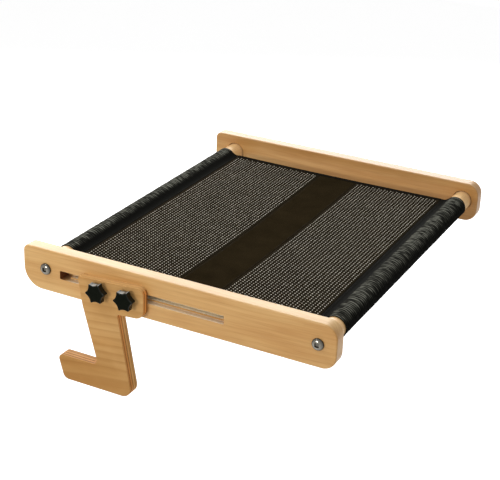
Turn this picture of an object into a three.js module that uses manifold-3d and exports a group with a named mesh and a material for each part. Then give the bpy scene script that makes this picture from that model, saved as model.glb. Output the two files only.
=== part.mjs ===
import * as THREE from "three";
import { mergeVertices } from "three/addons/utils/BufferGeometryUtils.js";
import Module from "manifold-3d";

// A pet's window perch, in millimetres: two wooden rails, two dowels between them, a cloth bed
// sleeved over the dowels, and two hook brackets that slide along slots in the rails and are
// clamped with star knobs. +Z is up, +X runs along the rails from the window end to the room
// end, and Y runs along the dowels. The origin is midway between the rails, at their
// mid-length, in the plane of their undersides, which rest on the sill.

const wasm = await Module();
wasm.setup();

// Rails
const railLength = 454;
const railHeight = 60;
const railThickness = 20;
const perchDepth = 546;
const railWindowTopRadius = 9;
const railWindowBottomRadius = 28;
const railRoomRadius = 19;
const railEdgeRound = 2;

// Slot in each rail: wide at the outer face, a narrow lip behind it, then a channel for the stud
// heads, closed towards the bed. An entry at its window end lets the heads in.
const slotWindowInset = 58;
const slotLength = 244;
const slotCentreHeight = 28.5;
const slotWideHeight = 12;
const slotWideDepth = 8;
const slotLipDepth = 4;
const slotChannelDepth = 5;
const slotEntryLength = 12;
const slotCornerRadius = 1.5;
const slotEndStep = 4;

// Dowels and their sockets in the rails
const dowelDiameter = 28;
const dowelWindowInset = 36;
const dowelRoomInset = 24.5;
const dowelHeight = 32;
const socketDepth = 8;
const socketClearance = 1;

// Bolts through the rails into threaded inserts in the dowel ends
const boltDiameter = 8;
const boltHeadDiameter = 16;
const boltHeadHeight = 4.4;
const boltHeadRim = 0.8;
const boltTipClearance = 2;
const crossRecessLength = 7.4;
const crossRecessWidth = 1.5;
const crossRecessDepth = 2.2;
const dowelInsertDiameter = 12;
const dowelInsertLength = 22;
const dowelBoreExtraDepth = 6;

// Cloth bed
const clothEndGap = 29;
const clothThickness = 0.9;
const clothLevel = 39;
const hemThickness = 1.6;
const hemWidth = 9;
const sleeveClearance = 0.4;
const stitchGap = 0.3;
const centreBandStart = -20;
const centreBandWidth = 62;
const bedSag = 5;
const edgeSagShare = 0.25;

// Bracket plate: a hook with a head that laps the rail and a leg that tucks under it
const plateThickness = 18;
const plateProud = 10;
const plateEdgeRound = 1.2;
const headWindowReach = 55.5;
const headRoomReach = 44;
const headWindowTop = 40;
const headRoomTop = 46;
const headUnderside = 3;
const headWindowCorner = 3;
const headTopCorner = 9;
const headBottomCorner = 13;
const legWindowReach = 49;
const legRoomReach = 4.5;
const legRoomFootReach = 26.5;
const legWindowFootReach = 26;
const legShoulderCorner = 2;
const legBlendRadius = 40;
const footDepth = 119;
const sillGap = 83.5;
const toeTopReach = 91;
const toeBottomReach = 81;
const toeTopCorner = 7;
const toeBottomCorner = 9;
const heelCorner = 14;
const toeFillet = 8;

// Studs, washers and star knobs that clamp a plate to its rail
const studMiddleInset = 148.3;
const studSpacing = 42;
const studDiameter = 6;
const studHeadDiameter = 11;
const studHeadHeight = 3.2;
const studHeadRim = 0.6;
const studNeckDepth = 3.6;
const studGrip = 7.5;
const studTipChamfer = 0.8;
const washerDiameter = 15;
const washerThickness = 1.2;
const knobTipRadius = 15.3;
const knobValleyRadius = 11.4;
const knobLobes = 6;
const knobLobeSharpness = 1.5;
const knobRestTurn = 7;
const knobHeight = 9;
const knobEdgeRound = 1.4;
const knobHubDiameter = 15;
const knobHubHeight = 2.5;
const knobInsertDiameter = 9;
const knobInsertLength = 8;
const knobBoreExtraDepth = 1;

// Fits and drawing values
const seatGap = 0.2;
const boreClearance = 0.3;
const shoulderGap = 0.5;
const cutOverrun = 3;
const samePlace = 0.01;
const roundSegments = 48;
const headSegments = 28;
const boreSegments = 16;
const cornerSegments = 5;
const bevelSegments = 2;
const lobePoints = 8;
const domeSegments = 5;
const clothColumns = 6;
const clothRows = 12;

// Places worked out from the sizes above
const railOuterY = perchDepth / 2;
const railInnerY = railOuterY - railThickness;
const windowEndX = -railLength / 2;
const windowDowelX = windowEndX + dowelWindowInset;
const roomDowelX = windowEndX + railLength - dowelRoomInset;
const slotMiddleX = windowEndX + slotWindowInset + slotLength / 2;
const slotChannelFrontY = -railOuterY + slotWideDepth + slotLipDepth;
const slotChannelBackY = slotChannelFrontY + slotChannelDepth;
const studHoleDiameter = studDiameter + 2 * boreClearance;
const slotNarrowHeight = studDiameter + 2 * boreClearance;
const studMiddleX = windowEndX + studMiddleInset;
const clothWidth = 2 * (railInnerY - clothEndGap);
const sleeveInnerRadius = dowelDiameter / 2 + sleeveClearance;
const sleeveOuterRadius = sleeveInnerRadius + clothThickness;
const clothRise = clothLevel - dowelHeight;
const sleeveHalfChord = Math.sqrt(sleeveOuterRadius ** 2 - clothRise ** 2);
const windowSeamX = windowDowelX + sleeveHalfChord + hemWidth;
const roomSeamX = roomDowelX - sleeveHalfChord - hemWidth;

// Finishes
function finish(color, roughness, metalness = 0) {
  return new THREE.MeshStandardMaterial({ color, roughness, metalness });
}
const pineFinish = finish(0xd2a96c, 0.55);
const dowelFinish = finish(0xe6c48c, 0.55);
const plywoodFinish = finish(0xc99a5b, 0.55);
const steelFinish = finish(0xb9babb, 0.3, 0.95);
const brassFinish = finish(0xb5974f, 0.35, 0.95);
const knobFinish = finish(0x0d0e0d, 0.25);
const sleeveFinish = finish(0x25272a, 0.85);
const meshFinish = finish(0x2e2d2b, 0.9);
const bandFinish = finish(0x1d1a17, 0.9);

const group = new THREE.Group();

// Adds one named piece to a group and returns its mesh.
function addPiece(parent, name, geometry, material) {
  const mesh = new THREE.Mesh(geometry, material);
  mesh.name = name;
  parent.add(mesh);
  return mesh;
}

// Turns a closed geometry into a solid that can be joined and cut.
function solid(geometry) {
  const bare = geometry.clone();
  bare.deleteAttribute("normal");
  bare.deleteAttribute("uv");
  const merged = mergeVertices(bare);
  return new wasm.Manifold(
    new wasm.Mesh({
      numProp: 3,
      vertProperties: merged.attributes.position.array,
      triVerts: new Uint32Array(merged.index.array),
    }),
  );
}

// Turns a solid back into a geometry.
function geometryOf(made) {
  const mesh = made.getMesh();
  const geometry = new THREE.BufferGeometry();
  geometry.setAttribute("position", new THREE.BufferAttribute(mesh.vertProperties, 3));
  geometry.setIndex(new THREE.BufferAttribute(mesh.triVerts, 1));
  geometry.computeVertexNormals();
  return geometry;
}

// A closed outline through corners [x, y, radius], each rounded by its radius as far as the
// two sides beside it allow.
function roundedShape(corners) {
  const shape = new THREE.Shape();
  corners.forEach(([x, y, radius], i) => {
    const before = corners[(i + corners.length - 1) % corners.length];
    const after = corners[(i + 1) % corners.length];
    const corner = new THREE.Vector2(x, y);
    const back = new THREE.Vector2(before[0], before[1]).sub(corner);
    const ahead = new THREE.Vector2(after[0], after[1]).sub(corner);
    const shorter = Math.min(back.length(), ahead.length());
    back.normalize();
    ahead.normalize();
    const half = Math.acos(THREE.MathUtils.clamp(back.dot(ahead), -1, 1)) / 2;
    const reach = Math.min(radius / Math.tan(half), shorter / 2);
    const arcRadius = reach * Math.tan(half);
    const centre = back.clone().add(ahead).normalize().multiplyScalar(arcRadius / Math.sin(half)).add(corner);
    const start = back.multiplyScalar(reach).add(corner).sub(centre);
    const end = ahead.multiplyScalar(reach).add(corner).sub(centre);
    shape.absarc(centre.x, centre.y, arcRadius, start.angle(), end.angle(), start.cross(end) < 0);
  });
  const points = shape.getPoints(cornerSegments);
  const apart = (a, b) => a.distanceTo(b) > samePlace;
  return new THREE.Shape(points.filter((point, i) => apart(point, points[(i + 1) % points.length])));
}

// Stands an XZ outline up as a plate whose inner face lies at y = 0 and outer face at -thickness.
function standingPlate(shape, thickness, edgeRound = 0) {
  const geometry = new THREE.ExtrudeGeometry(shape, {
    depth: thickness - 2 * edgeRound,
    bevelEnabled: edgeRound > 0,
    bevelThickness: edgeRound,
    bevelSize: edgeRound,
    bevelOffset: -edgeRound,
    bevelSegments,
  });
  geometry.translate(0, 0, edgeRound);
  geometry.rotateX(Math.PI / 2);
  return geometry;
}

// A cylinder along Y between two places.
function rodAlongY(diameter, fromY, toY, x, z, segments = boreSegments) {
  const geometry = new THREE.CylinderGeometry(
    diameter / 2,
    diameter / 2,
    Math.abs(toY - fromY),
    segments,
  );
  geometry.translate(x, (fromY + toY) / 2, z);
  return geometry;
}

// A ring along Y, such as a washer or a sleeve of metal.
function ringAlongY(outerDiameter, innerDiameter, fromY, toY, x, z) {
  const outer = rodAlongY(outerDiameter, fromY, toY, x, z, headSegments);
  const inner = rodAlongY(innerDiameter, fromY - cutOverrun, toY + cutOverrun, x, z);
  return geometryOf(solid(outer).subtract(solid(inner)));
}

// A domed head on the Y axis: its flat underside is at y = 0 and its crown at y = -height.
function domeProfile(diameter, rim, height) {
  const points = [new THREE.Vector2(0, -height)];
  for (let i = 1; i <= domeSegments; i += 1) {
    const angle = (i / domeSegments) * (Math.PI / 2);
    const radius = (diameter / 2) * Math.sin(angle);
    points.push(new THREE.Vector2(radius, -rim - (height - rim) * Math.cos(angle)));
  }
  points.push(new THREE.Vector2(diameter / 2, 0));
  return points;
}

// The rail outline, with its window end at -X.
function railShape() {
  return roundedShape([
    [windowEndX, 0, railWindowBottomRadius],
    [windowEndX + railLength, 0, railRoomRadius],
    [windowEndX + railLength, railHeight, railRoomRadius],
    [windowEndX, railHeight, railWindowTopRadius],
  ]);
}

// The outline of one layer of the slot.
function slotShape(length, height, radius, middle = slotMiddleX) {
  const left = middle - length / 2;
  const right = middle + length / 2;
  const low = slotCentreHeight - height / 2;
  const high = slotCentreHeight + height / 2;
  return roundedShape([
    [left, low, radius],
    [right, low, radius],
    [right, high, radius],
    [left, high, radius],
  ]);
}

// One rail in the place of the front rail, its outer face at -Y.
function railGeometry() {
  const body = standingPlate(railShape(), railThickness, railEdgeRound);
  body.translate(0, -railInnerY, 0);
  const wide = standingPlate(slotShape(slotLength, slotWideHeight, slotCornerRadius), slotWideDepth + cutOverrun);
  wide.translate(0, -railOuterY + slotWideDepth, 0);
  const narrow = standingPlate(
    slotShape(slotLength - 2 * slotEndStep, slotNarrowHeight, slotNarrowHeight / 2),
    slotWideDepth + slotLipDepth + 2 * cutOverrun,
  );
  narrow.translate(0, slotChannelFrontY + cutOverrun, 0);
  const channel = standingPlate(slotShape(slotLength, slotWideHeight, slotCornerRadius), slotChannelDepth);
  channel.translate(0, slotChannelBackY, 0);
  const entryMiddleX = slotMiddleX - (slotLength - slotEntryLength) / 2;
  const entry = standingPlate(
    slotShape(slotEntryLength, slotWideHeight, slotCornerRadius, entryMiddleX),
    slotChannelBackY + railOuterY + cutOverrun,
  );
  entry.translate(0, slotChannelBackY, 0);
  const layers = solid(wide).add(solid(narrow)).add(solid(channel)).add(solid(entry));
  let made = solid(body).subtract(layers);
  for (const x of [windowDowelX, roomDowelX]) {
    const socketDiameter = dowelDiameter + 2 * socketClearance;
    const socketFloorY = -railInnerY - socketDepth;
    const socket = rodAlongY(socketDiameter, socketFloorY, -railInnerY + cutOverrun, x, dowelHeight, roundSegments);
    const holeDiameter = boltDiameter + 2 * boreClearance;
    const hole = rodAlongY(holeDiameter, -railOuterY - cutOverrun, socketFloorY + cutOverrun, x, dowelHeight);
    made = made.subtract(solid(socket)).subtract(solid(hole));
  }
  return geometryOf(made);
}

// A dowel with a bore in each end for its threaded insert.
const dowelEndY = railInnerY + socketDepth - seatGap;
function dowelGeometry(x) {
  let made = solid(rodAlongY(dowelDiameter, -dowelEndY, dowelEndY, x, dowelHeight, roundSegments));
  const boreDiameter = dowelInsertDiameter + 2 * boreClearance;
  const boreDepth = dowelInsertLength + dowelBoreExtraDepth;
  for (const side of [-1, 1]) {
    const bore = rodAlongY(
      boreDiameter,
      side * (dowelEndY - boreDepth),
      side * (dowelEndY + cutOverrun),
      x,
      dowelHeight,
    );
    made = made.subtract(solid(bore));
  }
  return geometryOf(made);
}

// The threaded insert in a dowel's front end.
function dowelInsertGeometry(x) {
  const outerEndY = -dowelEndY + seatGap;
  return ringAlongY(
    dowelInsertDiameter,
    boltDiameter + 2 * boreClearance,
    outerEndY,
    outerEndY + dowelInsertLength,
    x,
    dowelHeight,
  );
}

// A front rail bolt: domed head with a cross recess, and a shank into the insert.
function boltGeometry(x) {
  const shankLength = railThickness - socketDepth + dowelInsertLength - boltTipClearance;
  const profile = domeProfile(boltHeadDiameter, boltHeadRim, boltHeadHeight);
  profile.push(new THREE.Vector2(boltDiameter / 2, 0));
  profile.push(new THREE.Vector2(boltDiameter / 2, shankLength));
  profile.push(new THREE.Vector2(0, shankLength));
  let made = solid(new THREE.LatheGeometry(profile, headSegments));
  for (const turn of [0, Math.PI / 2]) {
    const recess = new THREE.BoxGeometry(crossRecessLength, 2 * crossRecessDepth, crossRecessWidth);
    recess.rotateY(turn);
    recess.translate(0, -boltHeadHeight, 0);
    made = made.subtract(solid(recess));
  }
  const geometry = geometryOf(made);
  geometry.translate(x, -railOuterY - seatGap, dowelHeight);
  return geometry;
}

// A sleeve of the cloth: a tube round its dowel with a doubled hem towards the bed.
function sleeveGeometry(dowelX, seamX) {
  const halfWidth = clothWidth / 2;
  const outer = solid(rodAlongY(2 * sleeveOuterRadius, -halfWidth, halfWidth, dowelX, dowelHeight, roundSegments));
  const inner = rodAlongY(
    2 * sleeveInnerRadius,
    -halfWidth - cutOverrun,
    halfWidth + cutOverrun,
    dowelX,
    dowelHeight,
    roundSegments,
  );
  const hem = new THREE.BoxGeometry(Math.abs(seamX - dowelX), clothWidth, hemThickness);
  hem.translate((seamX + dowelX) / 2, 0, clothLevel - hemThickness / 2);
  return geometryOf(outer.add(solid(hem)).subtract(solid(inner)));
}

// How far the bed hangs below the hems at a place: most in the middle, less at its free edges.
function sagAt(x, y) {
  const across = (x - windowSeamX) / (roomSeamX - windowSeamX);
  const along = y / (clothWidth / 2);
  const span = edgeSagShare + (1 - edgeSagShare) * (1 - along ** 2);
  return bedSag * 4 * across * (1 - across) * span;
}

// One panel of the bed between two seams.
function panelGeometry(fromX, toX) {
  const geometry = new THREE.BoxGeometry(toX - fromX, clothWidth, clothThickness, clothColumns, clothRows, 1);
  geometry.translate((fromX + toX) / 2, 0, clothLevel - clothThickness / 2);
  const places = geometry.attributes.position;
  for (let i = 0; i < places.count; i += 1) {
    places.setZ(i, places.getZ(i) - sagAt(places.getX(i), places.getY(i)));
  }
  geometry.computeVertexNormals();
  return geometry;
}

// The bracket outline: x from the middle of its two studs, y up from the rail's underside.
function bracketShape() {
  return roundedShape([
    [-headWindowReach, headWindowTop, headWindowCorner],
    [-legWindowReach, 0, legBlendRadius],
    [-legWindowFootReach, -sillGap, toeFillet],
    [-toeTopReach, -sillGap, toeTopCorner],
    [-toeBottomReach, -footDepth, toeBottomCorner],
    [legRoomFootReach, -footDepth, heelCorner],
    [legRoomReach, 0, legShoulderCorner],
    [headRoomReach, headUnderside, headBottomCorner],
    [headRoomReach, headRoomTop, headTopCorner],
  ]);
}

const headBackY = -railOuterY - seatGap;
const plateFrontY = headBackY - plateProud;

// The front bracket plate, rebated behind its head so that the leg's shoulder lies under the rail.
function bracketGeometry() {
  const body = standingPlate(bracketShape(), plateThickness, plateEdgeRound);
  body.translate(0, plateFrontY + plateThickness, 0);
  const rebateDepth = plateThickness - plateProud + cutOverrun;
  const rebateHeight = headRoomTop + shoulderGap + cutOverrun;
  const rebateLength = headWindowReach + headRoomReach + 2 * cutOverrun;
  const rebate = new THREE.BoxGeometry(rebateLength, rebateDepth, rebateHeight);
  rebate.translate(
    (headRoomReach - headWindowReach) / 2,
    headBackY + rebateDepth / 2,
    rebateHeight / 2 - shoulderGap,
  );
  let made = solid(body).subtract(solid(rebate));
  for (const x of [-studSpacing / 2, studSpacing / 2]) {
    const hole = rodAlongY(studHoleDiameter, plateFrontY - cutOverrun, headBackY + cutOverrun, x, slotCentreHeight);
    made = made.subtract(solid(hole));
  }
  return geometryOf(made);
}

const washerBackY = plateFrontY - seatGap;
const washerFrontY = washerBackY - washerThickness;
const knobBackY = washerFrontY - seatGap;
const studHeadY = slotChannelFrontY + seatGap;
const studTipY = knobBackY - studGrip;

// A carriage stud: its domed head runs in the rail's channel, and its square neck between the lips.
function studGeometry(x) {
  const profile = domeProfile(studHeadDiameter, studHeadRim, studHeadHeight).map(
    (point) => new THREE.Vector2(point.x, studHeadY - point.y),
  );
  profile.push(new THREE.Vector2(studDiameter / 2, studHeadY));
  profile.push(new THREE.Vector2(studDiameter / 2, studTipY + studTipChamfer));
  profile.push(new THREE.Vector2(studDiameter / 2 - studTipChamfer, studTipY));
  profile.push(new THREE.Vector2(0, studTipY));
  const turned = solid(new THREE.LatheGeometry(profile.reverse(), boreSegments));
  const neck = new THREE.BoxGeometry(studDiameter, studNeckDepth, studDiameter);
  neck.translate(0, studHeadY - studNeckDepth / 2, 0);
  const geometry = geometryOf(turned.add(solid(neck)));
  geometry.translate(x, 0, slotCentreHeight);
  return geometry;
}

// The star outline of a knob, turned as it stands at rest: the radius swings between tip and
// valley once a lobe.
function knobShape() {
  const restAngle = THREE.MathUtils.degToRad(knobRestTurn);
  const points = [];
  const count = knobLobes * lobePoints;
  for (let i = 0; i < count; i += 1) {
    const angle = (i / count) * 2 * Math.PI;
    const swing = ((1 + Math.cos(knobLobes * angle)) / 2) ** knobLobeSharpness;
    const radius = knobValleyRadius + (knobTipRadius - knobValleyRadius) * swing;
    const turned = angle + restAngle;
    points.push(new THREE.Vector2(radius * Math.cos(turned), radius * Math.sin(turned)));
  }
  return new THREE.Shape(points);
}

// A star knob on the stud at x, with a hub behind it and a blind bore for its insert.
function knobGeometry(x) {
  const star = standingPlate(knobShape(), knobHeight, knobEdgeRound);
  star.translate(0, knobBackY - knobHubHeight, 0);
  const hub = rodAlongY(knobHubDiameter, knobBackY, knobBackY - knobHubHeight - knobEdgeRound, 0, 0);
  const insertBore = rodAlongY(
    knobInsertDiameter + 2 * boreClearance,
    knobBackY + cutOverrun,
    knobBackY - knobInsertLength - seatGap,
    0,
    0,
  );
  const studBore = rodAlongY(
    studHoleDiameter,
    knobBackY + cutOverrun,
    knobBackY - knobInsertLength - knobBoreExtraDepth,
    0,
    0,
  );
  const made = solid(star).add(solid(hub)).subtract(solid(insertBore)).subtract(solid(studBore));
  const geometry = geometryOf(made);
  geometry.translate(x, 0, slotCentreHeight);
  return geometry;
}

// Rails, dowels, bolts, inserts and brackets are mirror pairs about the plane y = 0.
for (const [end, side] of [
  ["front", 1],
  ["back", -1],
]) {
  const half = new THREE.Group();
  half.scale.set(1, side, 1);
  group.add(half);
  addPiece(half, `${end}_rail`, railGeometry(), pineFinish);
  for (const [place, x] of [
    ["window", windowDowelX],
    ["room", roomDowelX],
  ]) {
    addPiece(half, `${end}_${place}_bolt`, boltGeometry(x), steelFinish);
    addPiece(half, `${end}_${place}_dowel_insert`, dowelInsertGeometry(x), brassFinish);
  }
  const bracket = new THREE.Group();
  bracket.position.x = studMiddleX;
  half.add(bracket);
  addPiece(bracket, `${end}_bracket_plate`, bracketGeometry(), plywoodFinish);
  for (const [place, x] of [
    ["window", -studSpacing / 2],
    ["room", studSpacing / 2],
  ]) {
    const washer = ringAlongY(washerDiameter, studHoleDiameter, washerFrontY, washerBackY, x, slotCentreHeight);
    const insert = ringAlongY(
      knobInsertDiameter,
      studHoleDiameter,
      knobBackY - knobInsertLength,
      knobBackY,
      x,
      slotCentreHeight,
    );
    addPiece(bracket, `${end}_${place}_stud`, studGeometry(x), steelFinish);
    addPiece(bracket, `${end}_${place}_washer`, washer, steelFinish);
    addPiece(bracket, `${end}_${place}_knob`, knobGeometry(x), knobFinish);
    addPiece(bracket, `${end}_${place}_knob_insert`, insert, brassFinish);
  }
}

// Dowels and the cloth bed on them.
addPiece(group, "window_dowel", dowelGeometry(windowDowelX), dowelFinish);
addPiece(group, "room_dowel", dowelGeometry(roomDowelX), dowelFinish);
const centreBandEnd = centreBandStart + centreBandWidth;
addPiece(group, "window_sleeve", sleeveGeometry(windowDowelX, windowSeamX), sleeveFinish);
addPiece(group, "room_sleeve", sleeveGeometry(roomDowelX, roomSeamX), sleeveFinish);
addPiece(
  group,
  "window_mesh_panel",
  panelGeometry(windowSeamX + stitchGap, centreBandStart - stitchGap),
  meshFinish,
);
addPiece(group, "centre_band", panelGeometry(centreBandStart, centreBandEnd), bandFinish);
addPiece(
  group,
  "room_mesh_panel",
  panelGeometry(centreBandEnd + stitchGap, roomSeamX - stitchGap),
  meshFinish,
);

export default group;
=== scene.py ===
"""Looks of a pet's window perch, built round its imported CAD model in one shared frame.

The perch is two wooden rails, two dowels between them, a cloth bed sleeved over the dowels, and
two hook brackets of plywood that slide along slots in the rails and are clamped with star knobs.
All lengths are in metres. +Z is up, +X runs along the rails from the window end to the room end,
and Y runs along the dowels, with the front rail at -Y. Colours are linear red, green and blue.
"""

import logging
import math
from contextlib import contextmanager
from dataclasses import dataclass
from enum import Enum
from typing import Callable, Iterator, List, Optional, Sequence, Tuple

import bmesh
import bpy
import numpy as np
from mathutils import Matrix, Vector


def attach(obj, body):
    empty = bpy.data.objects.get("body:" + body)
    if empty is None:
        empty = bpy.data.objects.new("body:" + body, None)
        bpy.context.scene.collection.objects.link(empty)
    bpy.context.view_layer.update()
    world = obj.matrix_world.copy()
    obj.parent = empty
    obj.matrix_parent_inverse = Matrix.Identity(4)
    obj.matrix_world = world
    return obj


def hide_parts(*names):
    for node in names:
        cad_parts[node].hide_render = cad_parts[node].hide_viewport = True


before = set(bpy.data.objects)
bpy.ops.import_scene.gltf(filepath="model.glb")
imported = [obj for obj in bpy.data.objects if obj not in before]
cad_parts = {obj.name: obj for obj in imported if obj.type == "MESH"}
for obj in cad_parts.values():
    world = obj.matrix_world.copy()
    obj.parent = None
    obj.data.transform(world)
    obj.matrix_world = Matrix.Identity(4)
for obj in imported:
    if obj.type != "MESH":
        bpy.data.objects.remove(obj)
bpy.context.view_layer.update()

Span = Tuple[float, float]
Ring = Tuple[float, float]
Point = Tuple[float, float, float]
Colour = Tuple[float, float, float]
Corner = Tuple[float, float, float]
Cells = Tuple[int, int]
Stops = Sequence[Tuple[float, Colour]]
Socket = bpy.types.NodeSocket
Field = Callable[[np.ndarray, np.ndarray], np.ndarray]

MM = 0.001
SAME_PLACE = 0.01 * MM
WELD = 0.002 * MM
ROUGH_RADIUS = 10 * MM
CORNER_STEP = math.radians(7)
CORNER_EDGE_SHARE = 0.499
SHARP_TURN = math.radians(20)
FACE_WEIGHT = 60
WHITE = (1.0, 1.0, 1.0)
log = logging.getLogger("perch")


class Pick(Enum):
    """What an edit-mode selection is made of."""

    CORNERS = "VERT"
    EDGES = "EDGE"
    FACES = "FACE"


class End(Enum):
    """The two ends of the dowels, each with its rail and bracket."""

    FRONT = "front"
    BACK = "back"


class Place(Enum):
    """The two places along a rail at which fasteners sit."""

    WINDOW = "window"
    ROOM = "room"


class Grain(Enum):
    """The turn that brings a board's grain onto the X axis of its ring pattern."""

    ALONG_X = (0.0, 0.0, 0.0)
    ALONG_Y = (0.0, 0.0, -90.0)


@dataclass(frozen=True)
class Layout:
    """The places that more than one sub-assembly follows."""

    rail_y: float = -273 * MM
    dowel_xs: Span = (-191 * MM, 202.5 * MM)
    dowel_z: float = 32 * MM
    dowel_radius: float = 14 * MM
    slot_xs: Span = (-169 * MM, 75 * MM)
    slot_z: float = 28.5 * MM
    entry_length: float = 12 * MM
    bracket_x: float = -78.7 * MM
    bracket_y: float = -283.2 * MM
    stud_spacing: float = 42 * MM
    overrun: float = 3 * MM

    @property
    def stud_xs(self) -> Span:
        """Where the two studs of a bracket stand."""
        return (self.bracket_x - self.stud_spacing / 2, self.bracket_x + self.stud_spacing / 2)


LAYOUT = Layout()


def deselect_all() -> None:
    """Deselects every object."""
    if bpy.context.mode != "OBJECT":
        bpy.ops.object.mode_set(mode="OBJECT")
    bpy.ops.object.select_all(action="DESELECT")


class Workpiece:
    """One mesh under work, shaped with Blender's own modelling operators."""

    def __init__(self, name: str, made: Optional[bpy.types.Object] = None) -> None:
        """Names the object that is worked on, which is the one just added if none is given."""
        self.made = made or bpy.context.active_object
        self.made.name = self.made.data.name = name

    @classmethod
    def block(cls, name: str, low: Sequence[float], high: Sequence[float]) -> "Workpiece":
        """Adds a cube that fills a box.

        Args:
            name: The piece's name.
            low: The box's lowest corner.
            high: The box's highest corner.

        Returns:
            The new piece.
        """
        deselect_all()
        middle = (Vector(low) + Vector(high)) / 2
        bpy.ops.mesh.primitive_cube_add(size=1, location=middle, scale=Vector(high) - Vector(low))
        piece = cls(name)
        piece.settle()
        return piece

    @classmethod
    def board(cls, name: str, corners: Sequence[Corner], low_y: float, high_y: float) -> "Workpiece":
        """Makes an upright board: its outline's corners placed, its face extruded, its corners rounded.

        Args:
            name: The piece's name.
            corners: The outline's (x, z, radius), in order round it.
            low_y: Where the board's one face lies.
            high_y: Where its other face lies.

        Returns:
            The new piece.
        """
        deselect_all()
        bpy.ops.mesh.primitive_circle_add(
            vertices=len(corners),
            radius=ROUGH_RADIUS,
            fill_type="NGON",
            location=(0, low_y, 0),
            rotation=(math.pi / 2, 0, 0),
        )
        piece = cls(name)
        piece.settle()
        with piece.editing():
            starts = [point.co.copy() for point in bmesh.from_edit_mesh(piece.made.data).verts]
            for index, (x, z, _) in enumerate(corners):
                piece.choose(Pick.CORNERS, lambda point, index=index: point.index == index)
                bpy.ops.transform.translate(value=Vector((x, low_y, z)) - starts[index])
            bpy.ops.mesh.select_all(action="SELECT")
            piece.extrude((0, high_y - low_y, 0))
            for index in range(len(corners)):
                piece.round_corner(corners, index)
            piece.face_outwards()
        return piece

    @classmethod
    def turned(
        cls, name: str, rings: Sequence[Ring], centre: Sequence[float], towards: float, segments: int = 48
    ) -> "Workpiece":
        """Turns a piece on an axis along Y, by extruding a circle ring by ring.

        Args:
            name: The piece's name.
            rings: (radius, reach) of each ring. A first ring repeated at the end makes a closed loop.
            centre: The point of the axis at reach zero.
            towards: The sign of Y in which the reach grows.
            segments: How many sides the circle has.

        Returns:
            The new piece.
        """
        deselect_all()
        fill = "NOTHING" if rings[0] == rings[-1] else "NGON"
        radius, reach = rings[0]
        start = (0, 0, reach)
        bpy.ops.mesh.primitive_circle_add(vertices=segments, radius=radius, fill_type=fill, location=start)
        piece = cls(name)
        piece.settle()
        with piece.editing():
            bpy.ops.mesh.select_all(action="SELECT")
            for next_radius, next_reach in rings[1:]:
                piece.extrude((0, 0, next_reach - reach))
                scale = next_radius / radius
                bpy.ops.transform.resize(value=(scale, scale, 1), center_override=(0, 0, next_reach))
                radius, reach = next_radius, next_reach
            piece.face_outwards()
        piece.made.rotation_euler = (-math.copysign(math.pi / 2, towards), 0, 0)
        piece.made.location = centre
        piece.settle()
        return piece

    @classmethod
    def cloth(
        cls, name: str, cells: Cells, place: Field, thickness: float, rise: Optional[Field] = None
    ) -> "Workpiece":
        """Lays a grid of cloth along a surface and gives it thickness.

        Args:
            name: The piece's name.
            cells: How many squares the grid has in each direction.
            place: Turns shares 0 to 1 in both directions into points of the cloth's middle surface.
            thickness: The cloth's thickness.
            rise: Turns the same shares into a value from 0 to 1 for the finish to read: for a sleeve, how
                high a rib stands times the share of painted light on it.

        Returns:
            The new piece.
        """
        deselect_all()
        bpy.ops.mesh.primitive_grid_add(x_subdivisions=cells[0], y_subdivisions=cells[1], size=1)
        piece = cls(name)
        mesh = piece.made.data
        flat = np.empty(len(mesh.vertices) * 3)
        mesh.vertices.foreach_get("co", flat)
        across, along = flat[0::3] + 0.5, flat[1::3] + 0.5
        mesh.vertices.foreach_set("co", place(across, along).ravel())
        if rise:
            mesh.attributes.new("rise", "FLOAT", "POINT").data.foreach_set("value", rise(across, along))
        mesh.update()
        piece.modify("SOLIDIFY", thickness=thickness, offset=0.0, use_even_offset=True)
        bpy.ops.object.shade_smooth()
        return piece

    def pick(self) -> None:
        """Makes the object the only one selected, and the active one."""
        deselect_all()
        self.made.select_set(True)
        bpy.context.view_layer.objects.active = self.made

    @contextmanager
    def editing(self) -> Iterator[None]:
        """Opens the mesh in edit mode for the statements inside."""
        self.pick()
        bpy.ops.object.mode_set(mode="EDIT")
        yield
        bpy.ops.object.mode_set(mode="OBJECT")

    def extrude(self, offset: Sequence[float]) -> None:
        """Extrudes what is selected, in edit mode."""
        bpy.ops.mesh.extrude_region_move(TRANSFORM_OT_translate={"value": offset})

    def choose(self, kind: Pick, test: Callable[[object], bool]) -> int:
        """Selects the corners, edges or faces that pass a test, and nothing else, in edit mode.

        Args:
            kind: What is selected.
            test: Says whether one corner, edge or face is wanted.

        Returns:
            How many were selected.
        """
        bpy.ops.mesh.select_mode(type=kind.value)
        bpy.ops.mesh.select_all(action="DESELECT")
        mesh = bmesh.from_edit_mesh(self.made.data)
        parts = {Pick.CORNERS: mesh.verts, Pick.EDGES: mesh.edges, Pick.FACES: mesh.faces}[kind]
        parts.ensure_lookup_table()
        parts.index_update()
        chosen = [part for part in parts if test(part)]
        for part in chosen:
            part.select_set(True)
        mesh.select_flush_mode()
        bmesh.update_edit_mesh(self.made.data)
        return len(chosen)

    def round_corner(self, corners: Sequence[Corner], index: int) -> None:
        """Rounds one corner of a board's outline by its radius, as far as its edges are long enough.

        Args:
            corners: The outline's (x, z, radius).
            index: Which corner is rounded.
        """
        x, z, radius = corners[index]
        before = Vector(corners[index - 1][:2]) - Vector((x, z))
        after = Vector(corners[(index + 1) % len(corners)][:2]) - Vector((x, z))
        half = before.angle(after) / 2
        reach = min(radius / math.tan(half), CORNER_EDGE_SHARE * min(before.length, after.length))
        steps = max(3, round((math.pi - 2 * half) / CORNER_STEP))

        def at_corner(edge: bmesh.types.BMEdge) -> bool:
            """Says whether an edge is the board's upright edge at this corner."""
            gaps = [abs(end.co.x - x) for end in edge.verts] + [abs(end.co.z - z) for end in edge.verts]
            return max(gaps) < SAME_PLACE

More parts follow.
